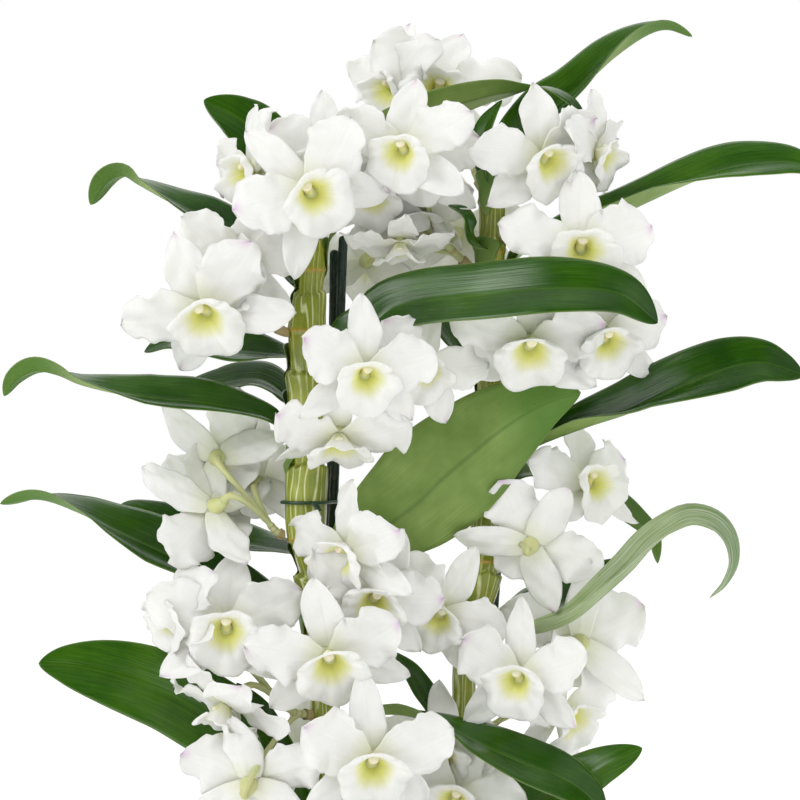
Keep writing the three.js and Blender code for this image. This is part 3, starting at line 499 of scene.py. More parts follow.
def tube(curve, places, radii, sides, normal):
    """Rows of points round a curve."""
    position, along, _ = even(curve, places)
    a = turns(sides)[:, None]
    rows = []
    for p, t, r in zip(position, along, radii):
        normal = unit(normal - t * (normal @ t))
        rows.append(p + r * (np.cos(a) * normal + np.sin(a) * np.cross(normal, t)))
    return np.array(rows)


def settle(piece, nodes):
    """Puts a finished piece on the frame, in place of its CAD nodes."""
    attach(piece, "root")
    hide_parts(*nodes)


def wobble(seed, k):
    """Small steady difference between one bloom and the next, from -1 to 1."""
    return np.sin(seed * 12.9 + k * 78.2)


# ---- Materials ----


def srgb(r, g, b):
    """Linear colour of 8-bit sRGB values."""
    values = [c / 255 for c in (r, g, b)]
    return (*[c / 12.92 if c <= 0.04045 else ((c + 0.055) / 1.055) ** 2.4 for c in values], 1.0)


class Nodes:
    """Short names for building a tree of nodes."""

    def __init__(self, tree):
        self.tree = tree

    def add(self, kind, output=0, settings=None, sockets=None, **named):
        """Adds a node with its settings and its sockets by number or name, and gives one output."""
        node = self.tree.nodes.new(kind)
        for key, value in (settings or {}).items():
            setattr(node, key, value)
        self.put(node, **named)
        for number, value in (sockets or {}).items():
            self.plug(node.inputs[number], value)
        return node.outputs[output]

    def plug(self, socket, value):
        if isinstance(value, bpy.types.NodeSocket):
            self.tree.links.new(value, socket)
        else:
            socket.default_value = value

    def put(self, node, **named):
        for key, value in named.items():
            self.plug(node.inputs[key.replace("_", " ")], value)

    def curve(self, value, low, high, out_low=0.0, out_high=1.0):
        limits = enumerate((value, low, high, out_low, out_high))
        return self.add("ShaderNodeMapRange", sockets=dict(limits))

    def maths(self, operation, a, b):
        return self.add("ShaderNodeMath", 0, {"operation": operation}, {0: a, 1: b})

    def times(self, a, b):
        return self.maths("MULTIPLY", a, b)

    def vectors(self, operation, a, b, output=0):
        return self.add("ShaderNodeVectorMath", output, {"operation": operation}, {0: a, 1: b})


class Shader(Nodes):
    """One material and its nodes."""

    def __init__(self, name, **sockets):
        self.material = bpy.data.materials.new(name)
        self.material.use_nodes = True
        super().__init__(self.material.node_tree)
        self.surface = self.tree.nodes["Principled BSDF"]
        self.put(self.surface, **sockets)
        found = self.tree.nodes.new("ShaderNodeTexCoord").outputs
        self.place, self.uv = found["Object"], found["UV"]

    def value(self, name):
        return self.add("ShaderNodeAttribute", "Fac", {"attribute_name": name})

    def stretched(self, vector, x, y, z=1.0):
        return self.add("ShaderNodeMapping", Vector=vector, Scale=(x, y, z))

    def noise(self, vector, scale, detail=4.0, roughness=0.55):
        return self.add("ShaderNodeTexNoise", "Fac", Vector=vector, Scale=scale, Detail=detail,
                        Roughness=roughness)

    def mix(self, share, a, b):
        return self.add("ShaderNodeMix", 2, {"data_type": "RGBA"}, {0: share, 6: a, 7: b})

    def bump(self, height, distance, strength=1.0, **normal):
        return self.add("ShaderNodeBump", Height=height, Distance=distance, Strength=strength, **normal)

    def done(self, colour, **sockets):
        self.put(self.surface, Base_Color=colour, **sockets)
        return self.material


def leaf_material():
    """Dark green glossy upper face with parallel veins and a pale crease; paler matt underside; on leaves
    set to it, pale grey lengthwise streaks over both faces, which are a painted highlight.
    """
    s = Shader("leaf", Specular_IOR_Level=0.42)
    veins = s.noise(s.stretched(s.uv, 34, 0.5), 3.0, 3.0, 0.7)
    broad = s.noise(s.place, 28.0, 3.0)
    streaks = s.noise(s.stretched(s.uv, 16, 0.35), 2.0, 2.0, 0.6)
    side = s.value("side")
    crease = s.curve(side, 0.0, 0.06, 1.0, 0.0)
    edge = s.curve(side, 0.94, 1.0)
    under = s.value("under")
    cloudy = s.curve(broad, 0.35, 0.68)
    young = s.mix(cloudy, srgb(48, 96, 6), srgb(74, 120, 12))
    upper = s.mix(cloudy, srgb(18, 56, 2), srgb(40, 84, 4))
    upper = s.mix(s.value("tone"), upper, young)
    upper = s.mix(s.curve(veins, 0.35, 0.6, 0.5, 0.0), upper, srgb(16, 48, 2))
    upper = s.mix(s.curve(veins, 0.6, 0.75, 0.0, 0.3), upper, srgb(108, 136, 62))
    upper = s.mix(s.times(crease, 0.5), upper, srgb(74, 108, 34))
    lower = s.mix(s.curve(broad, 0.32, 0.68), srgb(98, 128, 48), srgb(144, 168, 90))
    lower = s.mix(s.curve(veins, 0.35, 0.7, 0.0, 0.35), lower, srgb(82, 112, 48))
    lower = s.mix(s.times(crease, 0.6), lower, srgb(74, 104, 40))
    colour = s.mix(under, upper, lower)
    colour = s.mix(s.times(s.times(s.value("tip"), under), 0.8), colour, srgb(66, 112, 14))
    colour = s.mix(s.times(edge, 0.6), colour, srgb(122, 146, 74))
    # Where under runs past 1, pale grey streaks along the veins cover both faces: a painted highlight.
    painted_highlight_streaks = s.times(s.curve(under, 1.0, 2.0), s.curve(veins, 0.4, 0.6, 0.95, 0.12))
    colour = s.mix(painted_highlight_streaks, colour, srgb(184, 194, 168))
    spots = s.curve(s.noise(s.place, 420.0, 2.0), 0.73, 0.78)
    colour = s.mix(s.times(spots, 0.35), colour, srgb(34, 40, 18))
    roughness = s.curve(s.maths("ADD", under, s.times(streaks, 0.6)), 0.15, 1.3, 0.17, 0.6)
    normal = s.bump(veins, 0.00009, 0.8)
    normal = s.bump(streaks, 0.00035, 0.7, Normal=normal)
    return s.done(colour, Roughness=roughness, Normal=normal)


def cane_material():
    """Glossy olive internodes with pale streaks along the ribs that are painted highlights, papery ribbed
    sheaths with whitish veins, and golden-brown node rings.
    """
    s = Shader("cane", Specular_IOR_Level=0.5, Coat_Weight=0.5, Coat_Roughness=0.1)
    ribs = s.noise(s.stretched(s.uv, 12, 0.7), 1.2, 2.0, 0.5)
    lines = s.add("ShaderNodeTexWave", "Fac", Vector=s.stretched(s.uv, 1, 0.3), Scale=2.3,
                  Distortion=12.0, Detail=1.0, Detail_Scale=1.3)
    broken = s.curve(s.noise(s.place, 90.0), 0.32, 0.55, 0.3, 1.0)
    lines = s.times(s.curve(lines, 0.8, 0.97), broken)
    blotch = s.noise(s.place, 60.0, 4.0)
    sheath, node = s.value("sheath"), s.value("node")
    bare = s.mix(s.curve(blotch, 0.35, 0.65), srgb(106, 120, 3), srgb(150, 157, 20))
    bare = s.mix(s.curve(ribs, 0.45, 0.65, 0.0, 0.5), bare, srgb(150, 160, 52))
    # Pale streaks on the bare internodes: painted highlight lines along the ribs.
    bare = s.mix(s.times(lines, 0.6), bare, srgb(208, 212, 122))
    paper = s.mix(s.curve(blotch, 0.3, 0.7), srgb(112, 130, 10), srgb(156, 163, 44))
    paper = s.mix(s.times(lines, 0.9), paper, srgb(218, 220, 164))
    paper = s.mix(s.curve(blotch, 0.6, 0.78, 0.0, 0.4), paper, srgb(150, 136, 84))
    colour = s.mix(sheath, bare, paper)
    colour = s.mix(node, colour, srgb(184, 150, 46))
    colour = s.mix(s.curve(s.noise(s.place, 700.0, 2.0), 0.7, 0.78, 0.0, 0.4), colour, srgb(70, 58, 24))
    roughness = s.curve(sheath, 0.0, 1.0, 0.2, 0.36)
    normal = s.bump(ribs, 0.0012, 0.9)
    normal = s.bump(s.noise(s.place, 500.0, 3.0), 0.00012, 0.4, Normal=normal)
    return s.done(colour, Roughness=roughness, Normal=normal)


def petal_material():
    """White crystalline petal: faint veins, a green flush at the heart and lilac at the tips."""
    s = Shader("petal", Roughness=0.6, Subsurface_Weight=0.35, Subsurface_Scale=0.003,
               Subsurface_Radius=(1.0, 1.0, 0.85), Specular_IOR_Level=0.3, Sheen_Weight=0.08)
    veins = s.noise(s.stretched(s.uv, 18, 2.2), 1.4, 3.0, 0.6)
    colour = s.mix(s.curve(veins, 0.35, 0.7, 0.0, 0.35), srgb(236, 236, 232), srgb(226, 227, 217))
    colour = s.mix(s.times(s.value("heart"), 0.6), colour, srgb(218, 222, 188))
    colour = s.mix(s.times(s.value("tip"), 0.85), colour, srgb(214, 170, 214))
    normal = s.bump(veins, 0.00025, 0.5)
    normal = s.bump(s.noise(s.place, 150.0, 2.0), 0.0009, 0.3, Normal=normal)
    normal = s.bump(s.noise(s.place, 1400.0, 2.0), 0.0001, 0.35, Normal=normal)
    return s.done(colour, Normal=normal)


def lip_material():
    """White velvety lip with a yellow-green blotch that fades outwards along its veins."""
    s = Shader("lip", Roughness=0.65, Subsurface_Weight=0.35, Subsurface_Scale=0.003,
               Subsurface_Radius=(1.0, 1.0, 0.8), Specular_IOR_Level=0.25, Sheen_Weight=0.15)
    veins = s.noise(s.stretched(s.uv, 44, 1.2), 1.3, 3.0, 0.6)
    reach = s.maths("ADD", s.value("blotch"), s.curve(veins, 0.2, 0.8, -0.16, 0.16))
    colour = s.mix(s.curve(reach, 0.2, 0.8), srgb(236, 236, 231), srgb(219, 219, 118))
    colour = s.mix(s.curve(reach, 0.85, 1.1, 0.0, 0.8), colour, srgb(196, 198, 84))
    colour = s.mix(s.curve(veins, 0.4, 0.7, 0.0, 0.3), colour, srgb(228, 230, 212))
    normal = s.bump(veins, 0.0003, 0.6)
    normal = s.bump(s.noise(s.place, 1100.0, 3.0), 0.00015, 0.5, Normal=normal)
    return s.done(colour, Normal=normal)


def column_material():
    """Cream column with a white anther cap."""
    s = Shader("column", Roughness=0.42, Subsurface_Weight=0.3, Subsurface_Scale=0.002,
               Specular_IOR_Level=0.45)
    soft = s.noise(s.place, 500.0, 3.0)
    colour = s.mix(s.value("tip"), srgb(226, 220, 164), srgb(238, 232, 206))
    colour = s.mix(s.curve(soft, 0.45, 0.7, 0.0, 0.35), colour, srgb(206, 208, 132))
    return s.done(colour, Normal=s.bump(soft, 0.0001, 0.4))


def stalk_material():
    """Pale green pedicels that hook into a yellow-green chin, and papery brown bracts."""
    s = Shader("stalk", Roughness=0.45, Subsurface_Weight=0.15, Subsurface_Scale=0.002,
               Specular_IOR_Level=0.4)
    lines = s.noise(s.stretched(s.uv, 24, 1.5), 1.5, 2.0)
    colour = s.mix(s.curve(lines, 0.3, 0.7), srgb(172, 176, 122), srgb(200, 204, 152))
    colour = s.mix(s.value("heart"), colour, srgb(204, 206, 146))
    colour = s.mix(s.value("tip"), colour, srgb(168, 148, 104))
    normal = s.bump(lines, 0.0003, 0.5)
    roughness = s.curve(s.noise(s.place, 200.0), 0.3, 0.7, 0.38, 0.55)
    return s.done(colour, Roughness=roughness, Normal=normal)


def coated_material(name, dark, light, roughness):
    """Moulded or coated plastic with fine scuffs."""
    s = Shader(name, Specular_IOR_Level=0.5)
    scuff = s.noise(s.stretched(s.place, 1, 1, 0.2), 260.0, 4.0)
    broad = s.noise(s.place, 40.0, 3.0)
    colour = s.mix(s.curve(broad, 0.2, 0.9), dark, light)
    colour = s.mix(s.curve(scuff, 0.6, 0.75, 0.0, 0.3), colour, light)
    gloss = s.curve(scuff, 0.4, 0.7, roughness, roughness + 0.18)
    return s.done(colour, Roughness=gloss, Normal=s.bump(scuff, 0.0002, 0.35))


def bark_material():
    """Weathered bark chips: brown with pale fibres, and darkened in the hollows of the fibre relief,
    which is painted shade.
    """
    s = Shader("bark", Specular_IOR_Level=0.25)
    fibre = s.noise(s.stretched(s.place, 1, 1, 3), 160.0, 6.0, 0.65)
    broad = s.noise(s.place, 45.0, 4.0)
    colour = s.mix(s.curve(broad, 0.3, 0.7), srgb(72, 46, 30), srgb(124, 86, 58))
    colour = s.mix(s.curve(fibre, 0.5, 0.75, 0.0, 0.7), colour, srgb(168, 132, 96))
    # Darkest where the fibre relief is lowest: painted shade in its hollows.
    colour = s.mix(s.curve(fibre, 0.25, 0.4, 0.8, 0.0), colour, srgb(38, 26, 20))
    normal = s.bump(fibre, 0.0012, 0.8)
    return s.done(colour, Roughness=s.curve(fibre, 0.3, 0.7, 0.95, 0.75), Normal=normal)


def floor_material():
    """Pale light table with the faintest grain."""
    s = Shader("floor", Specular_IOR_Level=0.1, Emission_Color=(1, 1, 1, 1), Emission_Strength=0.12)
    grain = s.noise(s.place, 90.0, 2.0)
    shade = s.mix(s.curve(grain, 0.3, 0.7, 0.0, 0.04), (0.9, 0.9, 0.9, 1), (0.75, 0.75, 0.75, 1))
    return s.done(shade, Roughness=s.curve(grain, 0.0, 1.0, 0.75, 0.85))


# ---- Settings ----


def length_setting(name, description, default, least=0.0):
    """Setting for a length, given in millimetres."""
    return FloatProperty(
        name=name, description=description, default=default * MM, min=least * MM, unit="LENGTH",
        subtype="DISTANCE",
    )


class OrchidPlantSettings(PropertyGroup):
    """Thicknesses and relief of the plant's pieces."""

    leaf_thickness: length_setting("Leaf thickness", "Thickness of a leaf at its midrib", 0.9, 0.2)
    petal_thickness: length_setting("Petal thickness", "Thickness of sepals, petals and lip", 0.7, 0.2)
    ruffle: length_setting("Ruffle", "Height of the waves along the petals' edges", 2.7)
    rib: length_setting("Sheath rib", "Height of the ribs on the papery sheaths", 0.22)


class OrchidPotSettings(PropertyGroup):
    """Pot and bark mix."""

    rim_round: length_setting("Rim rounding", "Radius of the rounded edges of the pot's rim", 1.0, 0.1)
    chip_size: length_setting("Chip size", "Length of a large bark chip", 13, 2)
    chip_density: FloatProperty(
        name="Chip density", description="Bark chips for each square metre of the mix's surface",
        default=26000.0, min=0.0,
    )
    chip_seed: IntProperty(name="Chip seed", description="Fixes where the chips lie", default=7)


class OrchidStageSettings(PropertyGroup):
    """Lights and backdrop."""

    key_power: FloatProperty(
        name="Key light", description="Power of the large soft light", default=14.8, min=0.0,
        unit="POWER",
    )
    surround: FloatProperty(
        name="Surround", description="Strength of the light from all round", default=0.98, min=0.0,
    )
    backdrop: FloatProperty(
        name="Backdrop", description="Brightness of the white backdrop", default=1.0, min=0.0,
    )


# ---- Pot and bark ----


def pot_radius(z):
    return lerp(POT["base_radius"], POT["rim_radius"] - POT["rim_out"], z / POT["height"])


def rounded(profile, radius, steps=5):
    """Profile with each of its inner corners rounded."""
    out = [profile[0]]
    for before, corner, after in zip(profile, profile[1:], profile[2:]):
        before, corner, after = (np.array(p, float) for p in (before, corner, after))
        reach = min(radius, *(np.linalg.norm(p - corner) / 2.1 for p in (before, after)))
        start, end = (corner + reach * unit(p - corner) for p in (before, after))
        for t in np.linspace(0, 1, steps):
            out.append(lerp(lerp(start, corner, t), lerp(corner, end, t), t))
    return [*out, profile[-1]]


class ORCHID_OT_pot(Operator):
    """Plain nursery pot with a rim band, rounded edges and a small foot"""

    bl_idname = "orchid.pot"
    bl_label = "Pot"

    def execute(self, context):
        height, rim, wall = POT["height"], POT["rim_radius"], POT["wall"]
        band = height - POT["rim_drop"]
        foot, lifted = pot_radius(0) - POT_FOOT["width"], POT_FOOT["height"]
        profile = [
            (0.01, lifted), (foot - 1, lifted), (foot, 0), (pot_radius(0), 0), (pot_radius(band), band),
            (rim, band + 1), (rim, height), (pot_radius(height) - wall, height),
            (pot_radius(wall) - wall, wall), (0.01, wall),
        ]
        profile = rounded(profile, context.scene.orchid_pot.rim_round / MM)
        builder = Builder()
        builder.grid(np.array([r * outwards(turns(POT_SIDES)) + z * UP for r, z in profile]))
        material = coated_material("pot", srgb(56, 55, 53), srgb(74, 72, 69), 0.42)
        settle(builder.finish("pot_turned", [material]), ["pot"])
        return {"FINISHED"}


def bark_height(x, y):
    """Lumpy top of the bark mix."""
    share = np.hypot(x, y) / (pot_radius(BARK["edge"]) - POT["wall"])
    lumps = np.sin(x * 0.31 + 1.3 * np.sin(y * 0.19)) + np.sin(y * 0.27 + 1.7 * np.sin(x * 0.23 + 2))
    return lerp(BARK["crown"], BARK["edge"], share) - BARK["sunk"] + BARK["lump"] * lumps


def chip_nodes(material):
    """Node group that scatters bark chips over a surface."""
    group = bpy.data.node_groups.new("bark_chips", "GeometryNodeTree")
    group.is_modifier = True
    for name, kind, way in (
        ("Surface", "Geometry", "INPUT"), ("Chip Size", "Float", "INPUT"), ("Density", "Float", "INPUT"),
        ("Seed", "Int", "INPUT"), ("Chips", "Geometry", "OUTPUT"),
    ):
        group.interface.new_socket(name, in_out=way, socket_type=f"NodeSocket{kind}")
    n = Nodes(group)
    surface, chip_size, density, seed = group.nodes.new("NodeGroupInput").outputs[:4]
    block = n.add("GeometryNodeMeshCube", Size=(1.0, 0.62, 0.3), Vertices_X=6, Vertices_Y=5, Vertices_Z=4)
    crumble = n.vectors("SUBTRACT", n.add("ShaderNodeTexNoise", "Color", Scale=2.6), (0.5, 0.5, 0.5))
    crumble = n.add("ShaderNodeVectorMath", 0, {"operation": "SCALE"}, {0: crumble}, Scale=0.62)
    chip = n.add("GeometryNodeSetPosition", Geometry=block, Offset=crumble)
    points = n.add("GeometryNodeDistributePointsOnFaces", Mesh=surface, Density=density, Seed=seed)
    turn = n.add("FunctionNodeRandomValue", 0, {"data_type": "FLOAT_VECTOR"}, Seed=seed,
                 Min=(-0.5, -0.5, 0.0), Max=(0.5, 0.5, 2 * math.pi))
    share = n.add("FunctionNodeRandomValue", 1, {"data_type": "FLOAT"}, {2: 0.45, 3: 1.0}, Seed=seed)
    chips = n.add("GeometryNodeInstanceOnPoints", Points=points, Instance=chip, Rotation=turn,
                  Scale=n.times(share, chip_size))
    chips = n.add("GeometryNodeRealizeInstances", Geometry=chips)
    chips = n.add("GeometryNodeSetMaterial", Geometry=chips, Material=material)
    n.plug(group.nodes.new("NodeGroupOutput").inputs[0], chips)
    return group


def scattered_chips(context, surface):
    """Points in millimetres and faces of the bark chips over a surface, which is used up."""
    settings = context.scene.orchid_pot
    modifier = surface.modifiers.new("chips", "NODES")
    group = modifier.node_group = chip_nodes(surface.data.materials[0])
    given = {socket.name: socket.identifier for socket in group.interface.items_tree}
    modifier[given["Chip Size"]] = settings.chip_size
    modifier[given["Density"]] = settings.chip_density
    modifier[given["Seed"]] = settings.chip_seed
    surface.update_tag()
    mesh = bpy.data.meshes.new_from_object(surface.evaluated_get(context.evaluated_depsgraph_get()))
    points = np.empty(len(mesh.vertices) * 3)
    mesh.vertices.foreach_get("co", points)
    faces = [list(face.vertices) for face in mesh.polygons]
    bpy.data.meshes.remove(mesh)
    bpy.data.objects.remove(surface)
    bpy.data.node_groups.remove(group)
    if not faces:
        raise RuntimeError("no bark chips were scattered")
    return points.reshape(-1, 3) / MM, faces


class ORCHID_OT_bark(Operator):
    """Bark mix: a lumpy bed with loose chips scattered over it"""

    bl_idname = "orchid.bark"
    bl_label = "Bark"

    def execute(self, context):
        material = bark_material()
        inner = pot_radius(BARK["edge"]) - POT["wall"] - BARK["play"]
        rings, sides = BARK_GRID
        radius = np.linspace(0.02, 1, rings)[:, None] * inner
        x, y = radius * np.cos(turns(sides)), radius * np.sin(turns(sides))
        top = np.stack([x, y, bark_height(x, y)], -1)
        bed, field = Builder(), Builder()
        bed.grid(np.vstack([top, top[-1:] - BARK["thickness"] * UP]))
        field.grid(top[:CHIP_RINGS], caps=False)
        chips, faces = scattered_chips(context, field.finish("chip_field", [material]))
        far = np.hypot(chips[:, 0], chips[:, 1])
        chips[:, :2] *= (np.minimum(far, inner) / np.maximum(far, 1e-6))[:, None]
        faces = [[bed.count + i for i in face] for face in faces]
        bed.add(chips[None], faces, 0, chips[:, :2] * 0.01)
        settle(bed.finish("bark_mix", [material]), ["bark"])
        return {"FINISHED"}


# ---- Canes, stakes and ties ----


def cane_at(name, height):
    """Centre and radius of a CAD cane at a height."""
    stations, depth = CANES[name]["stations"], CANES[name]["depth"]
    upper = next(i for i, (_, z, _) in enumerate(stations) if z >= height)
    (x0, z0, r0), (x1, z1, r1) = stations[upper - 1 : upper + 1]
    x = lerp(x0, x1, (height - z0) / (z1 - z0))
    return seen([x, height, depth]), max(r0, r1)


def seat(name, height, towards, gap=GAP):
    """Point just off a cane's surface, towards another point, and the way out."""
    centre, radius = cane_at(name, height)
    outward = unit((towards - centre) * [1, 1, 0])
    corner = 2 * math.pi / CANE_FACETS
    angle = math.atan2(outward[1], outward[0]) / corner
    reach = radius * math.cos((angle - round(angle)) * corner)
    return centre + outward * (reach + gap), outward


def smoothed(values, width):
    """Values averaged with their neighbours."""
    kernel = np.exp(-(np.linspace(-2, 2, 4 * width + 1) ** 2))
    padded = np.pad(values, 2 * width, mode="edge")
    return np.convolve(padded, kernel / kernel.sum(), mode="valid")


def cane_middle(cane, heights, width):
    """Centres of a cane's smoothed middle line at heights."""
    x, z, _ = np.array(cane["stations"], float).T
    middle = smoothed(np.interp(heights, z, x), width)
    return np.array([seen([m, h, cane["depth"]]) for m, h in zip(middle, heights)])[:, None]


def add_cane(builder, cane, rib):
    """Adds a cane as rows of points round its middle line."""
    _, height, radius = np.array(cane["stations"], float).T
    relief, top = CANE_RELIEF, height[-1]
    z = np.arange(height[0], top, CANE_STEP)
    column, row = np.meshgrid(turns(CANE_COLUMNS), z)
    torn, sheath, node = 0 * row, 0 * row, 0 * row
    for k, (_, mouth) in enumerate(cane["sheaths"]):
        edge = np.sin(column * 2 + k * 2.1) + 0.5 * np.sin(column * 5 + k) + 0.3 * np.sin(column * 13)
        torn = torn + relief["tear"] * (edge - 1.2) * bell(row, mouth, 6)
    place = row - torn
    for start, mouth in cane["sheaths"]:
        inside = smooth(start - 0.6, start + 0.6, place) * (1 - smooth(mouth - 0.4, mouth + 0.4, place))
        sheath = np.maximum(sheath, inside)
    for k, at in enumerate(cane["nodes"]):
        node = np.maximum(node, bell(row, at + 0.7 * np.sin(column + k), relief["ring_width"]))
    lean = 1.6 * np.sin(row * 0.05 + column) + 1.2 * np.sin(row * 0.021 + 2 * column)
    ribs = np.sin(column * 12 + lean) + 0.5 * np.sin(column * 7 - row * 0.12 + lean)
    lumps = np.sin(column * 3 + row * 0.09) * np.sin(row * 0.21 + column)
    furrows = relief["furrow"] * (1 - sheath) * np.sin(column * 9 + lean)
    around = np.interp(place, height, radius) - relief["skin"] + rib * sheath * ribs * 0.6 + furrows
    around = around + relief["ring"] * node + relief["lump"] * lumps * np.minimum(around / 9, 1)
    around = around * rounded_end(smooth(top - 4, top, row), 0.02)
    points = cane_middle(cane, z, 8) + around[..., None] * outwards(column)
    uv = np.stack([column / math.pi, row * 0.02], -1)
    builder.grid(points, uv=uv, sheath=sheath, node=node)


class ORCHID_OT_canes(Operator):
    """Segmented canes with ribbed sheaths, torn sheath mouths and raised node rings"""

    bl_idname = "orchid.canes"
    bl_label = "Canes"

    def execute(self, context):
        material = cane_material()
        for name, cane in CANES.items():
            builder = Builder("sheath", "node")
            add_cane(builder, cane, context.scene.orchid_plant.rib / MM)
            settle(builder.finish(f"cane_{name}_sheathed", [material]), [f"cane_{name}"])
        return {"FINISHED"}


class ORCHID_OT_stakes(Operator):
    """Slim coated stakes with rounded tops and fine raised rings"""

    bl_idname = "orchid.stakes"
    bl_label = "Stakes"

    def execute(self, context):
        material = coated_material("stake", srgb(22, 40, 34), srgb(46, 68, 60), 0.22)
        top_run = 3
        for name, (foot, top) in STAKES.items():
            length = float(np.linalg.norm(np.subtract(top, foot)))
            run = np.arange(0, length - top_run, 1.0)
            run = np.concatenate([run, length - top_run * (1 - np.linspace(0, 1, 9))])
            ring = np.maximum(np.cos(run * 2 * math.pi / STAKE_RINGS["apart"]), 0.6)
            radius = STAKE_RADIUS - 0.2 + STAKE_RINGS["height"] * ring
            radius = radius * rounded_end((run - (length - STAKE_RADIUS)) / STAKE_RADIUS, 0.003)
            builder = Builder()
            builder.grid(tube(bezier(foot, top), run / length, radius, 24, FRONT))
            settle(builder.finish(f"{name}_rod", [material]), [name])
        return {"FINISHED"}


def hull(points):
    """Outline round a set of points, anticlockwise."""
    ordered = sorted(map(tuple, points))

    def half(given):
        chain = []
        for p in given:
            while len(chain) > 1:
                (ax, ay), (bx, by) = chain[-2:]
                if (bx - ax) * (p[1] - ay) - (by - ay) * (p[0] - ax) > 0:
                    break
                chain.pop()
            chain.append(p)
        return chain[:-1]

    return np.array(half(ordered) + half(ordered[::-1]))


def add_tie(builder, tie):
    """Adds a loop of wire and its two ends, twisted round each other."""
    height = tie["height"]
    centre, radius = cane_at(tie["cane"], height)
    posts = [(centre[:2], radius)]
    for stake in tie["stakes"]:
        foot, top = (np.array(p, float) for p in STAKES[stake])
        posts.append((lerp(foot, top, (height - foot[2]) / (top[2] - foot[2]))[:2], STAKE_RADIUS))
    circle = outwards(turns(36))[:, :2]
    outline = hull(np.vstack([c + (r + TIE_WIRE + GAP) * circle for c, r in posts]))
    loop = np.hstack([outline, np.full((len(outline), 1), float(height))])
    along = unit(np.roll(loop, -1, axis=0) - np.roll(loop, 1, axis=0))
    outward = np.cross(along, UP)[:, None]
    a = turns(14)[None, :, None]
    rows = loop[:, None] + TIE_WIRE * (np.cos(a) * outward + np.sin(a) * UP)
    builder.grid(np.vstack([rows, rows[:1]]), caps=False)
    start = loop[np.argmin(loop[:, 1] - 0.4 * loop[:, 0])] + FRONT * TIE_WIRE
    t = np.linspace(0, 1, 40)[:, None]
    for turn in (0, math.pi):
        phase = t * 4 * math.pi + turn
        aside = TIE_ENDS["twist"] * np.hstack([np.cos(phase), 0 * phase, np.sin(phase)])
        curve = catmull(start + t * TIE_ENDS["reach"] + aside)
        builder.grid(tube(curve, np.linspace(0, 1, 60), np.full(60, TIE_ENDS["wire"]), 10, UP))


class ORCHID_OT_ties(Operator):
    """Coated wire ties drawn round a cane and its stakes, with twisted ends"""

    bl_idname = "orchid.ties"
    bl_label = "Ties"

    def execute(self, context):
        material = coated_material("tie", srgb(20, 44, 26), srgb(44, 80, 44), 0.34)
        for name, tie in TIES.items():
            builder = Builder()
            add_tie(builder, tie)
            settle(builder.finish(f"{name}_wire", [material]), [name])
        return {"FINISHED"}


# ---- Leaves ----


def add_clasp(builder, cane, base, outward):
    """Adds the foot of a leaf, a thin sheath that wraps part of the cane and flares under the blade."""
    _, z, r = np.array(cane["stations"], float).T
    steps, columns = CLASP_GRID
    share = np.linspace(0, 1, steps)
    height = base + lerp(-CLASP["below"], CLASP["above"], share)
    radius = smoothed(np.interp(height, z, r), 2)
    radius = radius - 0.4 + 1.2 * smooth(0, 0.3, share) + 1.4 * smooth(0.75, 1, share)
    centre = cane_middle(cane, height, 2)
    v = np.linspace(1, -1, columns)[None]
    half = np.radians(lerp(*CLASP["spread"], share**0.7))[:, None]
    way = outwards(math.atan2(outward[1], outward[0]) + half * v)
    mouth = CLASP["mouth"] * (1 - np.abs(v) ** 1.5) * smooth(0.8, 1, share)[:, None]

    def skin(raised):
        reach = radius[:, None] + raised * (1 - v**4)
        return centre + reach[..., None] * way + UP * mouth[..., None]

    across = both(v) * 0.5 + 0.5 + 0 * height[:, None]
    uv = np.stack([across, height[:, None] / 60 + 0 * across], -1)
    under = lerp(0.9, 0.35, share)[:, None]
    rows = both(skin(0.0), skin(CLASP["thickness"]))
    builder.grid(rows, uv=uv, under=under, tone=1.0, side=0.5)


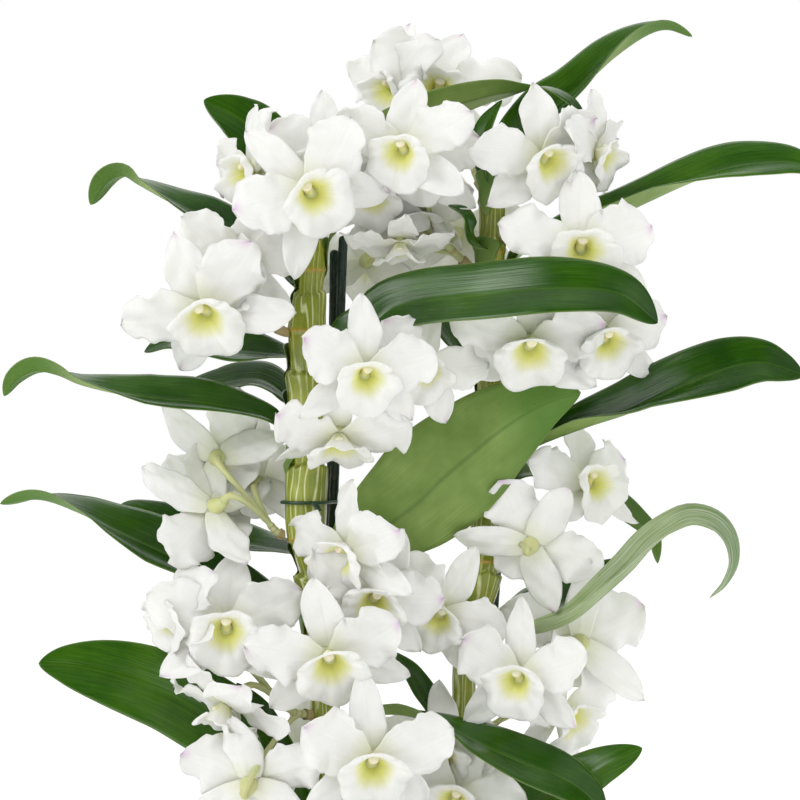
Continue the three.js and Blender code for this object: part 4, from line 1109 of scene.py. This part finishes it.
def add_leaf(builder, cane, leaf, thickness):
    """Adds a leaf: its foot, and a blade with a thin edge, a groove and a keel under the midrib."""
    drawn = [seen(p) for p in leaf.midrib]
    point, outward = seat(cane, leaf.base, drawn[0], leaf.gap)
    steps, columns = LEAF_GRID
    share = np.linspace(0, 1, steps)
    u = share + 0.55 * np.sin(math.pi * share) * (share - 0.5) * share * (1 - share)
    u = 1 - (1 - u) ** 1.25
    centre, along, length = even(catmull([point, *drawn]), u)
    along = unit(lerp(outward, along, smooth(0, 0.11, u)[:, None]))
    reach = np.sign(drawn[-1][0] - point[0])
    angle = np.radians(blend(leaf.face, u))[:, None]
    edge_on = unit(np.stack([-along[:, 2] * reach, 0 * u, along[:, 0] * reach], -1))
    normal = edge_on * np.cos(angle) + FRONT * np.sin(angle)
    normal = unit(normal - along * np.sum(normal * along, axis=1, keepdims=True))
    side = np.cross(normal, along)
    row, across = u[:, None], np.linspace(1, -1, columns)[None]
    width = leaf.width / 2 * blade_outline(row, 0.42, 0.26, 1, leaf.taper, 0.7, 0.0004)
    slope, usual = (np.radians(blend(f, u))[:, None] for f in (leaf.fold, LEAF_FOLD))
    fold = width * np.sin(slope) * np.abs(across) ** 1.15 * (1 - 0.3 * np.abs(across) ** 3)
    fold = fold - 0.45 * width * (np.sin(slope) - np.sin(usual))
    relief = LEAF_RELIEF
    wave = relief["wave"] * np.sin(7 * row + leaf.base) * width / 16 * across
    ripple = np.sin(19 * row + leaf.base + across) * across**2 * np.minimum(width / 12, 1)
    groove = relief["groove"] * bell(across * width, 0, 0.9) * (1 - 0.6 * row) * np.minimum(width / 8, 1)
    keel = relief["keel"] * bell(across * width, 0, 1.1) * (1 - 0.7 * row) * np.minimum(width / 6, 1)
    lift = fold + wave + relief["ripple"] * ripple
    thin = thickness / 2 * (1 - 0.6 * across**2) * np.minimum(1, 0.25 + width / 4)
    spread = side[:, None] * (width * across * np.cos(slope))[..., None]

    def face(raised):
        return centre[:, None] + spread + normal[:, None] * (lift + raised)[..., None]

    add_clasp(builder, CANES[cane], leaf.base, outward)
    off = both(across) + 0 * row
    builder.grid(
        both(face(thin - groove), face(-thin - keel)),
        uv=np.stack([0.5 + off * width / 60, row * length / 60 + 0 * off], -1),
        under=np.repeat([leaf.pale, max(leaf.pale, 1.0)], columns)[None],
        tip=smooth(0.66, 0.85, row), tone=leaf.tone, side=np.abs(off),
    )


class ORCHID_OT_leaves(Operator):
    """Strap-shaped folded leaves, one object for each"""

    bl_idname = "orchid.leaves"
    bl_label = "Leaves"

    def execute(self, context):
        thickness = context.scene.orchid_plant.leaf_thickness / MM
        material = leaf_material()
        for name, leaf in LEAVES.items():
            builder = Builder("under", "tip", "tone", "side")
            add_leaf(builder, name.split("_")[1], leaf, thickness)
            settle(builder.finish(f"{name}_blade", [material]), [name])
        return {"FINISHED"}


# ---- Blooms and sprays ----

PETAL_SLOT, LIP_SLOT, COLUMN_SLOT, STALK_SLOT = range(4)


def bloom_frame(bloom):
    """Axes, size and centre of a bloom: a function that places points of its own frame."""
    x, z, depth, turn, tilt, roll, size = bloom
    turn, tilt, roll = (math.radians(a) for a in (turn, tilt, roll))
    level = math.cos(tilt)
    forward = np.array([math.sin(turn) * level, -math.cos(turn) * level, math.sin(tilt)])
    upright = unit(UP - forward * (UP @ forward))
    right = np.cross(upright, forward)
    up = upright * math.cos(roll) + right * math.sin(roll)
    axes = np.array([np.cross(up, forward), up, forward]) * size
    centre = seen([x, z, depth])
    return lambda points: np.asarray(points, float) @ axes + centre


def sheet(mid, thickness):
    """Closed rows round a surface of rows of points, as thick as given at each point."""
    normal = np.cross(np.gradient(mid, axis=1), np.gradient(mid, axis=0))
    normal /= np.maximum(np.linalg.norm(normal, axis=-1, keepdims=True), 1e-9)
    offset = normal * (thickness[..., None] / 2)
    return both(mid + offset, mid - offset)


def add_tepal(builder, place, shape, at, seed, k, settings):
    """Adds a sepal or petal: a thin cupped blade with a sunk mid-vein and a waved edge."""

    def vary(n):
        return wobble(seed, k + n)

    rows, columns = TEPAL_GRID
    u = 0.05 + 0.95 * np.linspace(0, 1, rows)[:, None] ** 0.9
    v = np.linspace(-1, 1, columns)[None]
    edge = np.abs(v) ** 2
    if shape is PETAL:
        bays = np.sin(12 * u + 5 * vary(0) + 2 * v) + 0.5 * np.sin(27 * u + 9 * vary(0) + 3 * v)
        bays = bays + 0.4 * np.sin(43 * u + 11 * vary(0) + 4 * v)
        notch = 1 + 0.095 * bays * edge * smooth(0.1, 0.4, u)
    else:
        notch = 1 + 0.06 * np.sin(8 * u + 7 * vary(0) + 2 * v) * edge
    length = shape["length"] * (1 + 0.06 * vary(15))
    half = shape["width"] / 2 * blade_outline(u, *shape["outline"]) * (1 + 0.1 * vary(25))
    phase = 6 * vary(20)
    ruffle = settings.ruffle / MM * shape["ruffle"] * edge * smooth(0.12, 0.5, u) * (
        np.sin((11 + vary(80)) * u + phase + 1.4 * np.sign(v))
        + 0.5 * np.sin(20 * u + 2 * phase + 2 * np.sign(v)) + 0.2 * np.sin(37 * u + 3 * phase + v)
    )
    arch = length * (shape["lift"] * u - (shape["curl"] + 0.12 * vary(10)) * u * u)
    cup = shape["cup"] * (1 + vary(90)) * half * np.abs(v) ** 1.7
    vein = TEPAL_RELIEF["vein"] * bell(v * half, 0, 1.0) * smooth(0, 0.3, u) * (1 - smooth(0.75, 1, u))
    ribs = TEPAL_RELIEF["rib"] * np.sin(v * 11) * (1 - np.abs(v)) * smooth(0.1, 0.4, u)
    twist = shape["twist"] * vary(30) * half * v * u
    broad, small, fine = TEPAL_RELIEF["dimples"]
    dimple = broad * np.sin(6 * u + 4 * vary(60)) * np.sin(2.6 * v + 3 * vary(70)) * u
    dimple = dimple + small * np.sin(13 * u + 5 * v + 4 * vary(65)) * smooth(0.2, 0.5, u)
    dimple = dimple + fine * np.sin(31 * u - 7 * v + 6 * vary(68)) * smooth(0.2, 0.5, u)
    z = shape["middle"] + arch + cup + ruffle - vein + ribs + twist + dimple
    sideways = half * v * notch + shape["sway"] * vary(40) * u * u
    a = math.radians(at + 6 * vary(0))
    along = np.array([math.sin(a), math.cos(a), 0.0])
    side = np.array([-math.cos(a), math.sin(a), 0.0])
    mid = along * (length * u + 0 * v)[..., None] + side * (sideways + 0 * u)[..., None]
    mid = mid + UP * z[..., None]
    thick = settings.petal_thickness / MM * (1 - 0.55 * v**2) * (1.5 - 0.8 * u)
    blush = shape["blush"] * np.clip(0.1 + 0.9 * vary(50), 0, 1)
    tip = smooth(0.84, 1.0, u) * blush * bell(v, 0.5 * vary(55), 0.45)
    across = both(v) * 0.5 + 0.5
    uv = np.stack([across + 0 * u, 0.5 * u + 0 * across + k], -1)
    heart = 1 - smooth(0.1, 0.42, u)
    builder.grid(place(sheet(mid, thick)), PETAL_SLOT, uv=uv, tip=both(tip), heart=heart)


def add_lip(builder, place, seed, settings):
    """Adds the lip: a trumpet round the column that flares into a ruffled disc."""
    turned, columns = LIP_GRID
    s = np.linspace(0, 1, columns)[None]
    # The rows run a step past the round at each end, which gives the seam the slopes of the rest.
    a = np.arange(turned + 1, -2, -1)[:, None] * (2 * math.pi / turned)
    rise = np.cos(a)
    turn = 6 * wobble(seed, 5)
    lobes = 1.04 + 0.05 * np.sin(5 * a + turn) + 0.018 * np.sin(12 * a + 2 * turn) + 0.05 * np.cos(2 * a)
    rim_x = LIP["width"] * np.sin(a) * lobes
    rim_y = LIP["centre"] + rise * np.where(rise > 0, LIP["above"], LIP["below"]) * lobes
    rim_z = LIP["forward"] + LIP["droop"] * np.minimum(rise, 0)
    out = s**1.35
    x = lerp(THROAT["radius"] * np.sin(a), rim_x, out)
    y = lerp(THROAT["radius"] * rise, rim_y, out)
    z = lerp(THROAT["depth"] - 1, rim_z, 1 - (1 - s) ** 2.1)
    waves = 0.8 * np.sin(5 * a + turn) + 0.4 * np.sin(11 * a + 2 * turn) + 0.6 * np.sin(3 * a + 3 * turn)
    z = z + settings.ruffle / MM * 0.8 * waves * smooth(0.4, 1, s)
    z = z + 3.2 * smooth(0.25, 0.8, s) * np.sin(a) ** 2 * (1 - 0.5 * smooth(0.8, 1, s))
    z = z - 3.0 * smooth(0.65, 1.0, s) * np.maximum(-rise, 0)
    z = z + 2.4 * smooth(0.3, 0.9, s) * np.maximum(rise, 0)
    keel = 0.9 * bell(x, 0, 1.6) * (rise < 0) * smooth(0.05, 0.3, s) * (1 - smooth(0.5, 0.8, s))
    thick = settings.petal_thickness / MM * (1.2 - 0.7 * s) + 0 * a
    rows = sheet(np.stack([x, y, z + keel], -1), thick)
    blotch = (1 - smooth(0.3, 0.8, s)) * (0.72 + 0.35 * (1 - smooth(0.08, 0.4, s))) + 0 * a
    blotch = blotch * (0.8 + 0.2 * np.where(rise < 0, 1, 0.4))
    blotch = both(blotch, 0.55 * blotch)
    uv = np.stack([a / (2 * math.pi) + 0 * both(s), both(s) + 0 * a], -1)
    builder.grid(place(rows[1:-1]), LIP_SLOT, caps=False, uv=uv[1:-1], blotch=blotch[1:-1])


def add_column(builder, place):
    """Adds the column and its rounded anther cap."""
    curve = bezier((0, -0.6, 0.5), (0, 2.2, 5.0), COLUMN_TIP)
    cap = 0.8 + 0.2 * np.sin(np.linspace(0.2, 1, 8) * math.pi / 2)
    u = np.concatenate([np.linspace(0, 0.8, 9), cap])
    radius = np.interp(u, [0, 0.3, 0.7, 0.8, 0.9], [2.9, 2.3, 2.1, 2.5, 2.7])
    radius = radius * rounded_end((u - 0.86) / 0.14, 0.006)
    rows = tube(curve, u, radius, 16, np.array([1.0, 0.0, 0.0]))
    builder.grid(place(rows), COLUMN_SLOT, tip=smooth(0.76, 0.84, u)[:, None])


def add_pedicel(builder, place, curve):
    """Adds a pedicel that swells into the chin and the receptacle behind the tepals."""
    u = np.linspace(0, 1, 18)
    radius = PEDICEL_RADIUS * (1 + 0.3 * u) + 0.12 * np.sin(u * 40)
    radius[-3:] = [1.9, 2.2, CHIN["radius"]]
    builder.grid(tube(curve, u, radius, 14, UP), STALK_SLOT, heart=smooth(0.55, 1, u)[:, None])
    rings = (
        (-10.2, CHIN["y"], 0.3), (-9.6, CHIN["y"], 1.6), (CHIN["z"], CHIN["y"], CHIN["radius"]),
        (-6.2, -2.0, 3.1), (-4.2, -1.0, 3.9), (-2.6, -0.4, RECEPTACLE_RADIUS), (-0.4, 0, 4.5),
        (1.8, 0, 4.1), (3.2, 0, 3.0),
    )
    a = turns(20)
    rows = [np.stack([r * np.sin(a), y + r * np.cos(a), 0 * a + z], -1) for z, y, r in rings]
    builder.grid(place(rows), STALK_SLOT, heart=1.0)


def add_spray(builder, cane, node, fork, blooms, settings):
    """Adds a peduncle with its bracts and blooms."""
    point, outward = seat(cane, node, seen(fork))
    stem = bezier(point, point + 4 * outward, seen(fork))
    u = np.linspace(0, 1, 40)
    radius = lerp(PEDUNCLE_RADIUS, PEDUNCLE_RADIUS * 0.9, u) - 0.15
    radius = radius + 0.22 * sum(bell(u, at, 0.012) for at in PEDUNCLE_RINGS)
    radius[-3:] *= [0.95, 0.8, 0.45]
    brown = np.maximum.reduce([bell(u, at, 0.03) for at in PEDUNCLE_RINGS])[:, None]
    builder.grid(tube(stem, u, radius, 16, UP), STALK_SLOT, tip=brown)
    flare = PEDUNCLE_RADIUS + np.linspace(0.1, 0.7, 12)
    bract = tube(stem, np.linspace(0, 0.32, 12), flare, 20, UP)
    inside = bract - unit(bract - bract.mean(axis=1, keepdims=True)) * 0.3
    builder.grid(np.concatenate([bract, inside[::-1], bract[:1]]), STALK_SLOT, caps=False, tip=0.9)
    for i, bloom in enumerate(blooms):
        seed = i + fork[0]
        place = bloom_frame(bloom)
        (start,), (leaving,), _ = even(stem, [0.92 - 0.6 * i / len(blooms)])
        ends = place([(0, 0, -22), (0, CHIN["y"], CHIN["z"])])
        add_pedicel(builder, place, bezier(start, start + 9 * leaving, *ends))
        for k, (shape, at) in enumerate(TEPALS):
            add_tepal(builder, place, shape, at, seed, k, settings)
        add_lip(builder, place, seed, settings)
        add_column(builder, place)


class ORCHID_OT_sprays(Operator):
    """Sprays of white blooms on hooked pedicels, one object for each spray"""

    bl_idname = "orchid.sprays"
    bl_label = "Sprays"

    def execute(self, context):
        materials = [petal_material(), lip_material(), column_material(), stalk_material()]
        for name, spray in SPRAYS.items():
            builder = Builder("tip", "heart", "blotch")
            add_spray(builder, name.split("_")[1], *spray, context.scene.orchid_plant)
            settle(builder.finish(f"{name}_blooms", materials), [name])
        return {"FINISHED"}


# ---- Stage ----

FLOOR_EDGE = 9000
SKY, PANEL = (-0.1, 0.45, 0.89), (-0.78, -0.58, 0.22)  # where the surround is brightest

# Place and size in metres, and share of the key light's power
LIGHTS = {
    "key": ((-1.3, -1.5, 1.7), 1.1, 1.0),
    "fill": ((1.6, -1.2, 1.0), 1.6, 0.4),
    "back": ((0.2, 1.6, 1.9), 1.6, 0.5),
}


def surround_nodes(tree, settings):
    """White backdrop that lights the plant as a studio does: bright above and behind, dimmer in front."""
    n = Nodes(tree)
    way = n.add("ShaderNodeTexCoord", "Generated")
    path = tree.nodes.new("ShaderNodeLightPath").outputs
    towards = n.vectors("DOT_PRODUCT", way, SKY, "Value")
    beside = n.vectors("DOT_PRODUCT", way, PANEL, "Value")
    ramp = n.curve(towards, -0.45, 0.9, 0.34, 1.3)
    shine = n.curve(towards, 0.4, 0.95, 0.02, 0.7)
    shine = n.maths("ADD", n.curve(beside, 0.84, 0.95, 0.0, 3.4), shine)
    glow = n.add("ShaderNodeMix", sockets={0: path["Is Glossy Ray"], 2: ramp, 3: shine})
    lit = n.add("ShaderNodeBackground", Color=glow, Strength=settings.surround)
    backdrop = n.add("ShaderNodeBackground", Color=(1, 1, 1, 1), Strength=settings.backdrop)
    choice = n.add("ShaderNodeMixShader", sockets={0: path["Is Camera Ray"], 1: lit, 2: backdrop})
    n.plug(tree.nodes["World Output"].inputs[0], choice)


def add_object(name, data, place, turn):
    """Adds a light or a camera at a place, in metres, with a turn."""
    obj = bpy.data.objects.new(name, data)
    obj.location = place
    obj.rotation_euler = turn
    bpy.context.scene.collection.objects.link(obj)
    return obj


class ORCHID_OT_stage(Operator):
    """Pale floor, soft studio light and the camera"""

    bl_idname = "orchid.stage"
    bl_label = "Stage"

    def execute(self, context):
        settings = context.scene.orchid_stage
        scene = context.scene
        floor = Builder()
        ends = (-FLOOR_EDGE, FLOOR_EDGE)
        floor.grid(np.array([[[x, y, 0] for y in ends] for x in ends]), loop=False, caps=False)
        floor.finish("floor", [floor_material()])

        world = bpy.data.worlds.new("surround")
        world.use_nodes = True
        surround_nodes(world.node_tree, settings)
        world.cycles.sampling_method = "NONE"
        scene.world = world

        for name, (place, size, share) in LIGHTS.items():
            light = bpy.data.lights.new(name, "AREA")
            light.shape = "SQUARE"
            light.size = size
            light.energy = settings.key_power * share
            away = np.array(place) - (0, 0, EYE_HEIGHT * MM)
            turn = (math.atan2(math.hypot(*away[:2]), away[2]), 0, math.atan2(away[0], -away[1]))
            add_object(name, light, place, turn)

        camera = bpy.data.cameras.new("camera")
        camera.sensor_fit = "HORIZONTAL"
        camera.sensor_width = 36.0
        camera.lens = camera.sensor_width * EYE_DISTANCE / VIEW_WIDTH
        camera.clip_end = 50.0
        place = (0, -EYE_DISTANCE * MM, EYE_HEIGHT * MM)
        scene.camera = add_object("camera", camera, place, (math.pi / 2, 0, 0))
        scene.view_settings.view_transform = "Standard"
        scene.view_settings.look = "None"
        return {"FINISHED"}


class ORCHID_PT_panel(Panel):
    """Lists the steps in the order that they run"""

    bl_idname = "ORCHID_PT_panel"
    bl_label = "Orchid"
    bl_space_type = "VIEW_3D"
    bl_region_type = "UI"
    bl_category = "Orchid"

    def draw(self, context):
        for operator in OPERATORS:
            self.layout.operator(operator.bl_idname)


SETTINGS = {
    "orchid_plant": OrchidPlantSettings,
    "orchid_pot": OrchidPotSettings,
    "orchid_stage": OrchidStageSettings,
}
OPERATORS = (
    ORCHID_OT_pot, ORCHID_OT_bark, ORCHID_OT_canes, ORCHID_OT_stakes, ORCHID_OT_ties, ORCHID_OT_leaves,
    ORCHID_OT_sprays, ORCHID_OT_stage,
)
CLASSES = (*SETTINGS.values(), *OPERATORS, ORCHID_PT_panel)


def register():
    for cls in CLASSES:
        bpy.utils.register_class(cls)
    for name, cls in SETTINGS.items():
        setattr(bpy.types.Scene, name, PointerProperty(type=cls))


def unregister():
    for name in SETTINGS:
        delattr(bpy.types.Scene, name)
    for cls in reversed(CLASSES):
        bpy.utils.unregister_class(cls)


def main():
    register()
    for operator in OPERATORS:
        category, name = operator.bl_idname.split(".")
        result = getattr(getattr(bpy.ops, category), name)()
        if result != {"FINISHED"}:
            raise RuntimeError(f"{operator.bl_idname} did not finish")
    bpy.context.view_layer.update()


if __name__ == "__main__":
    main()
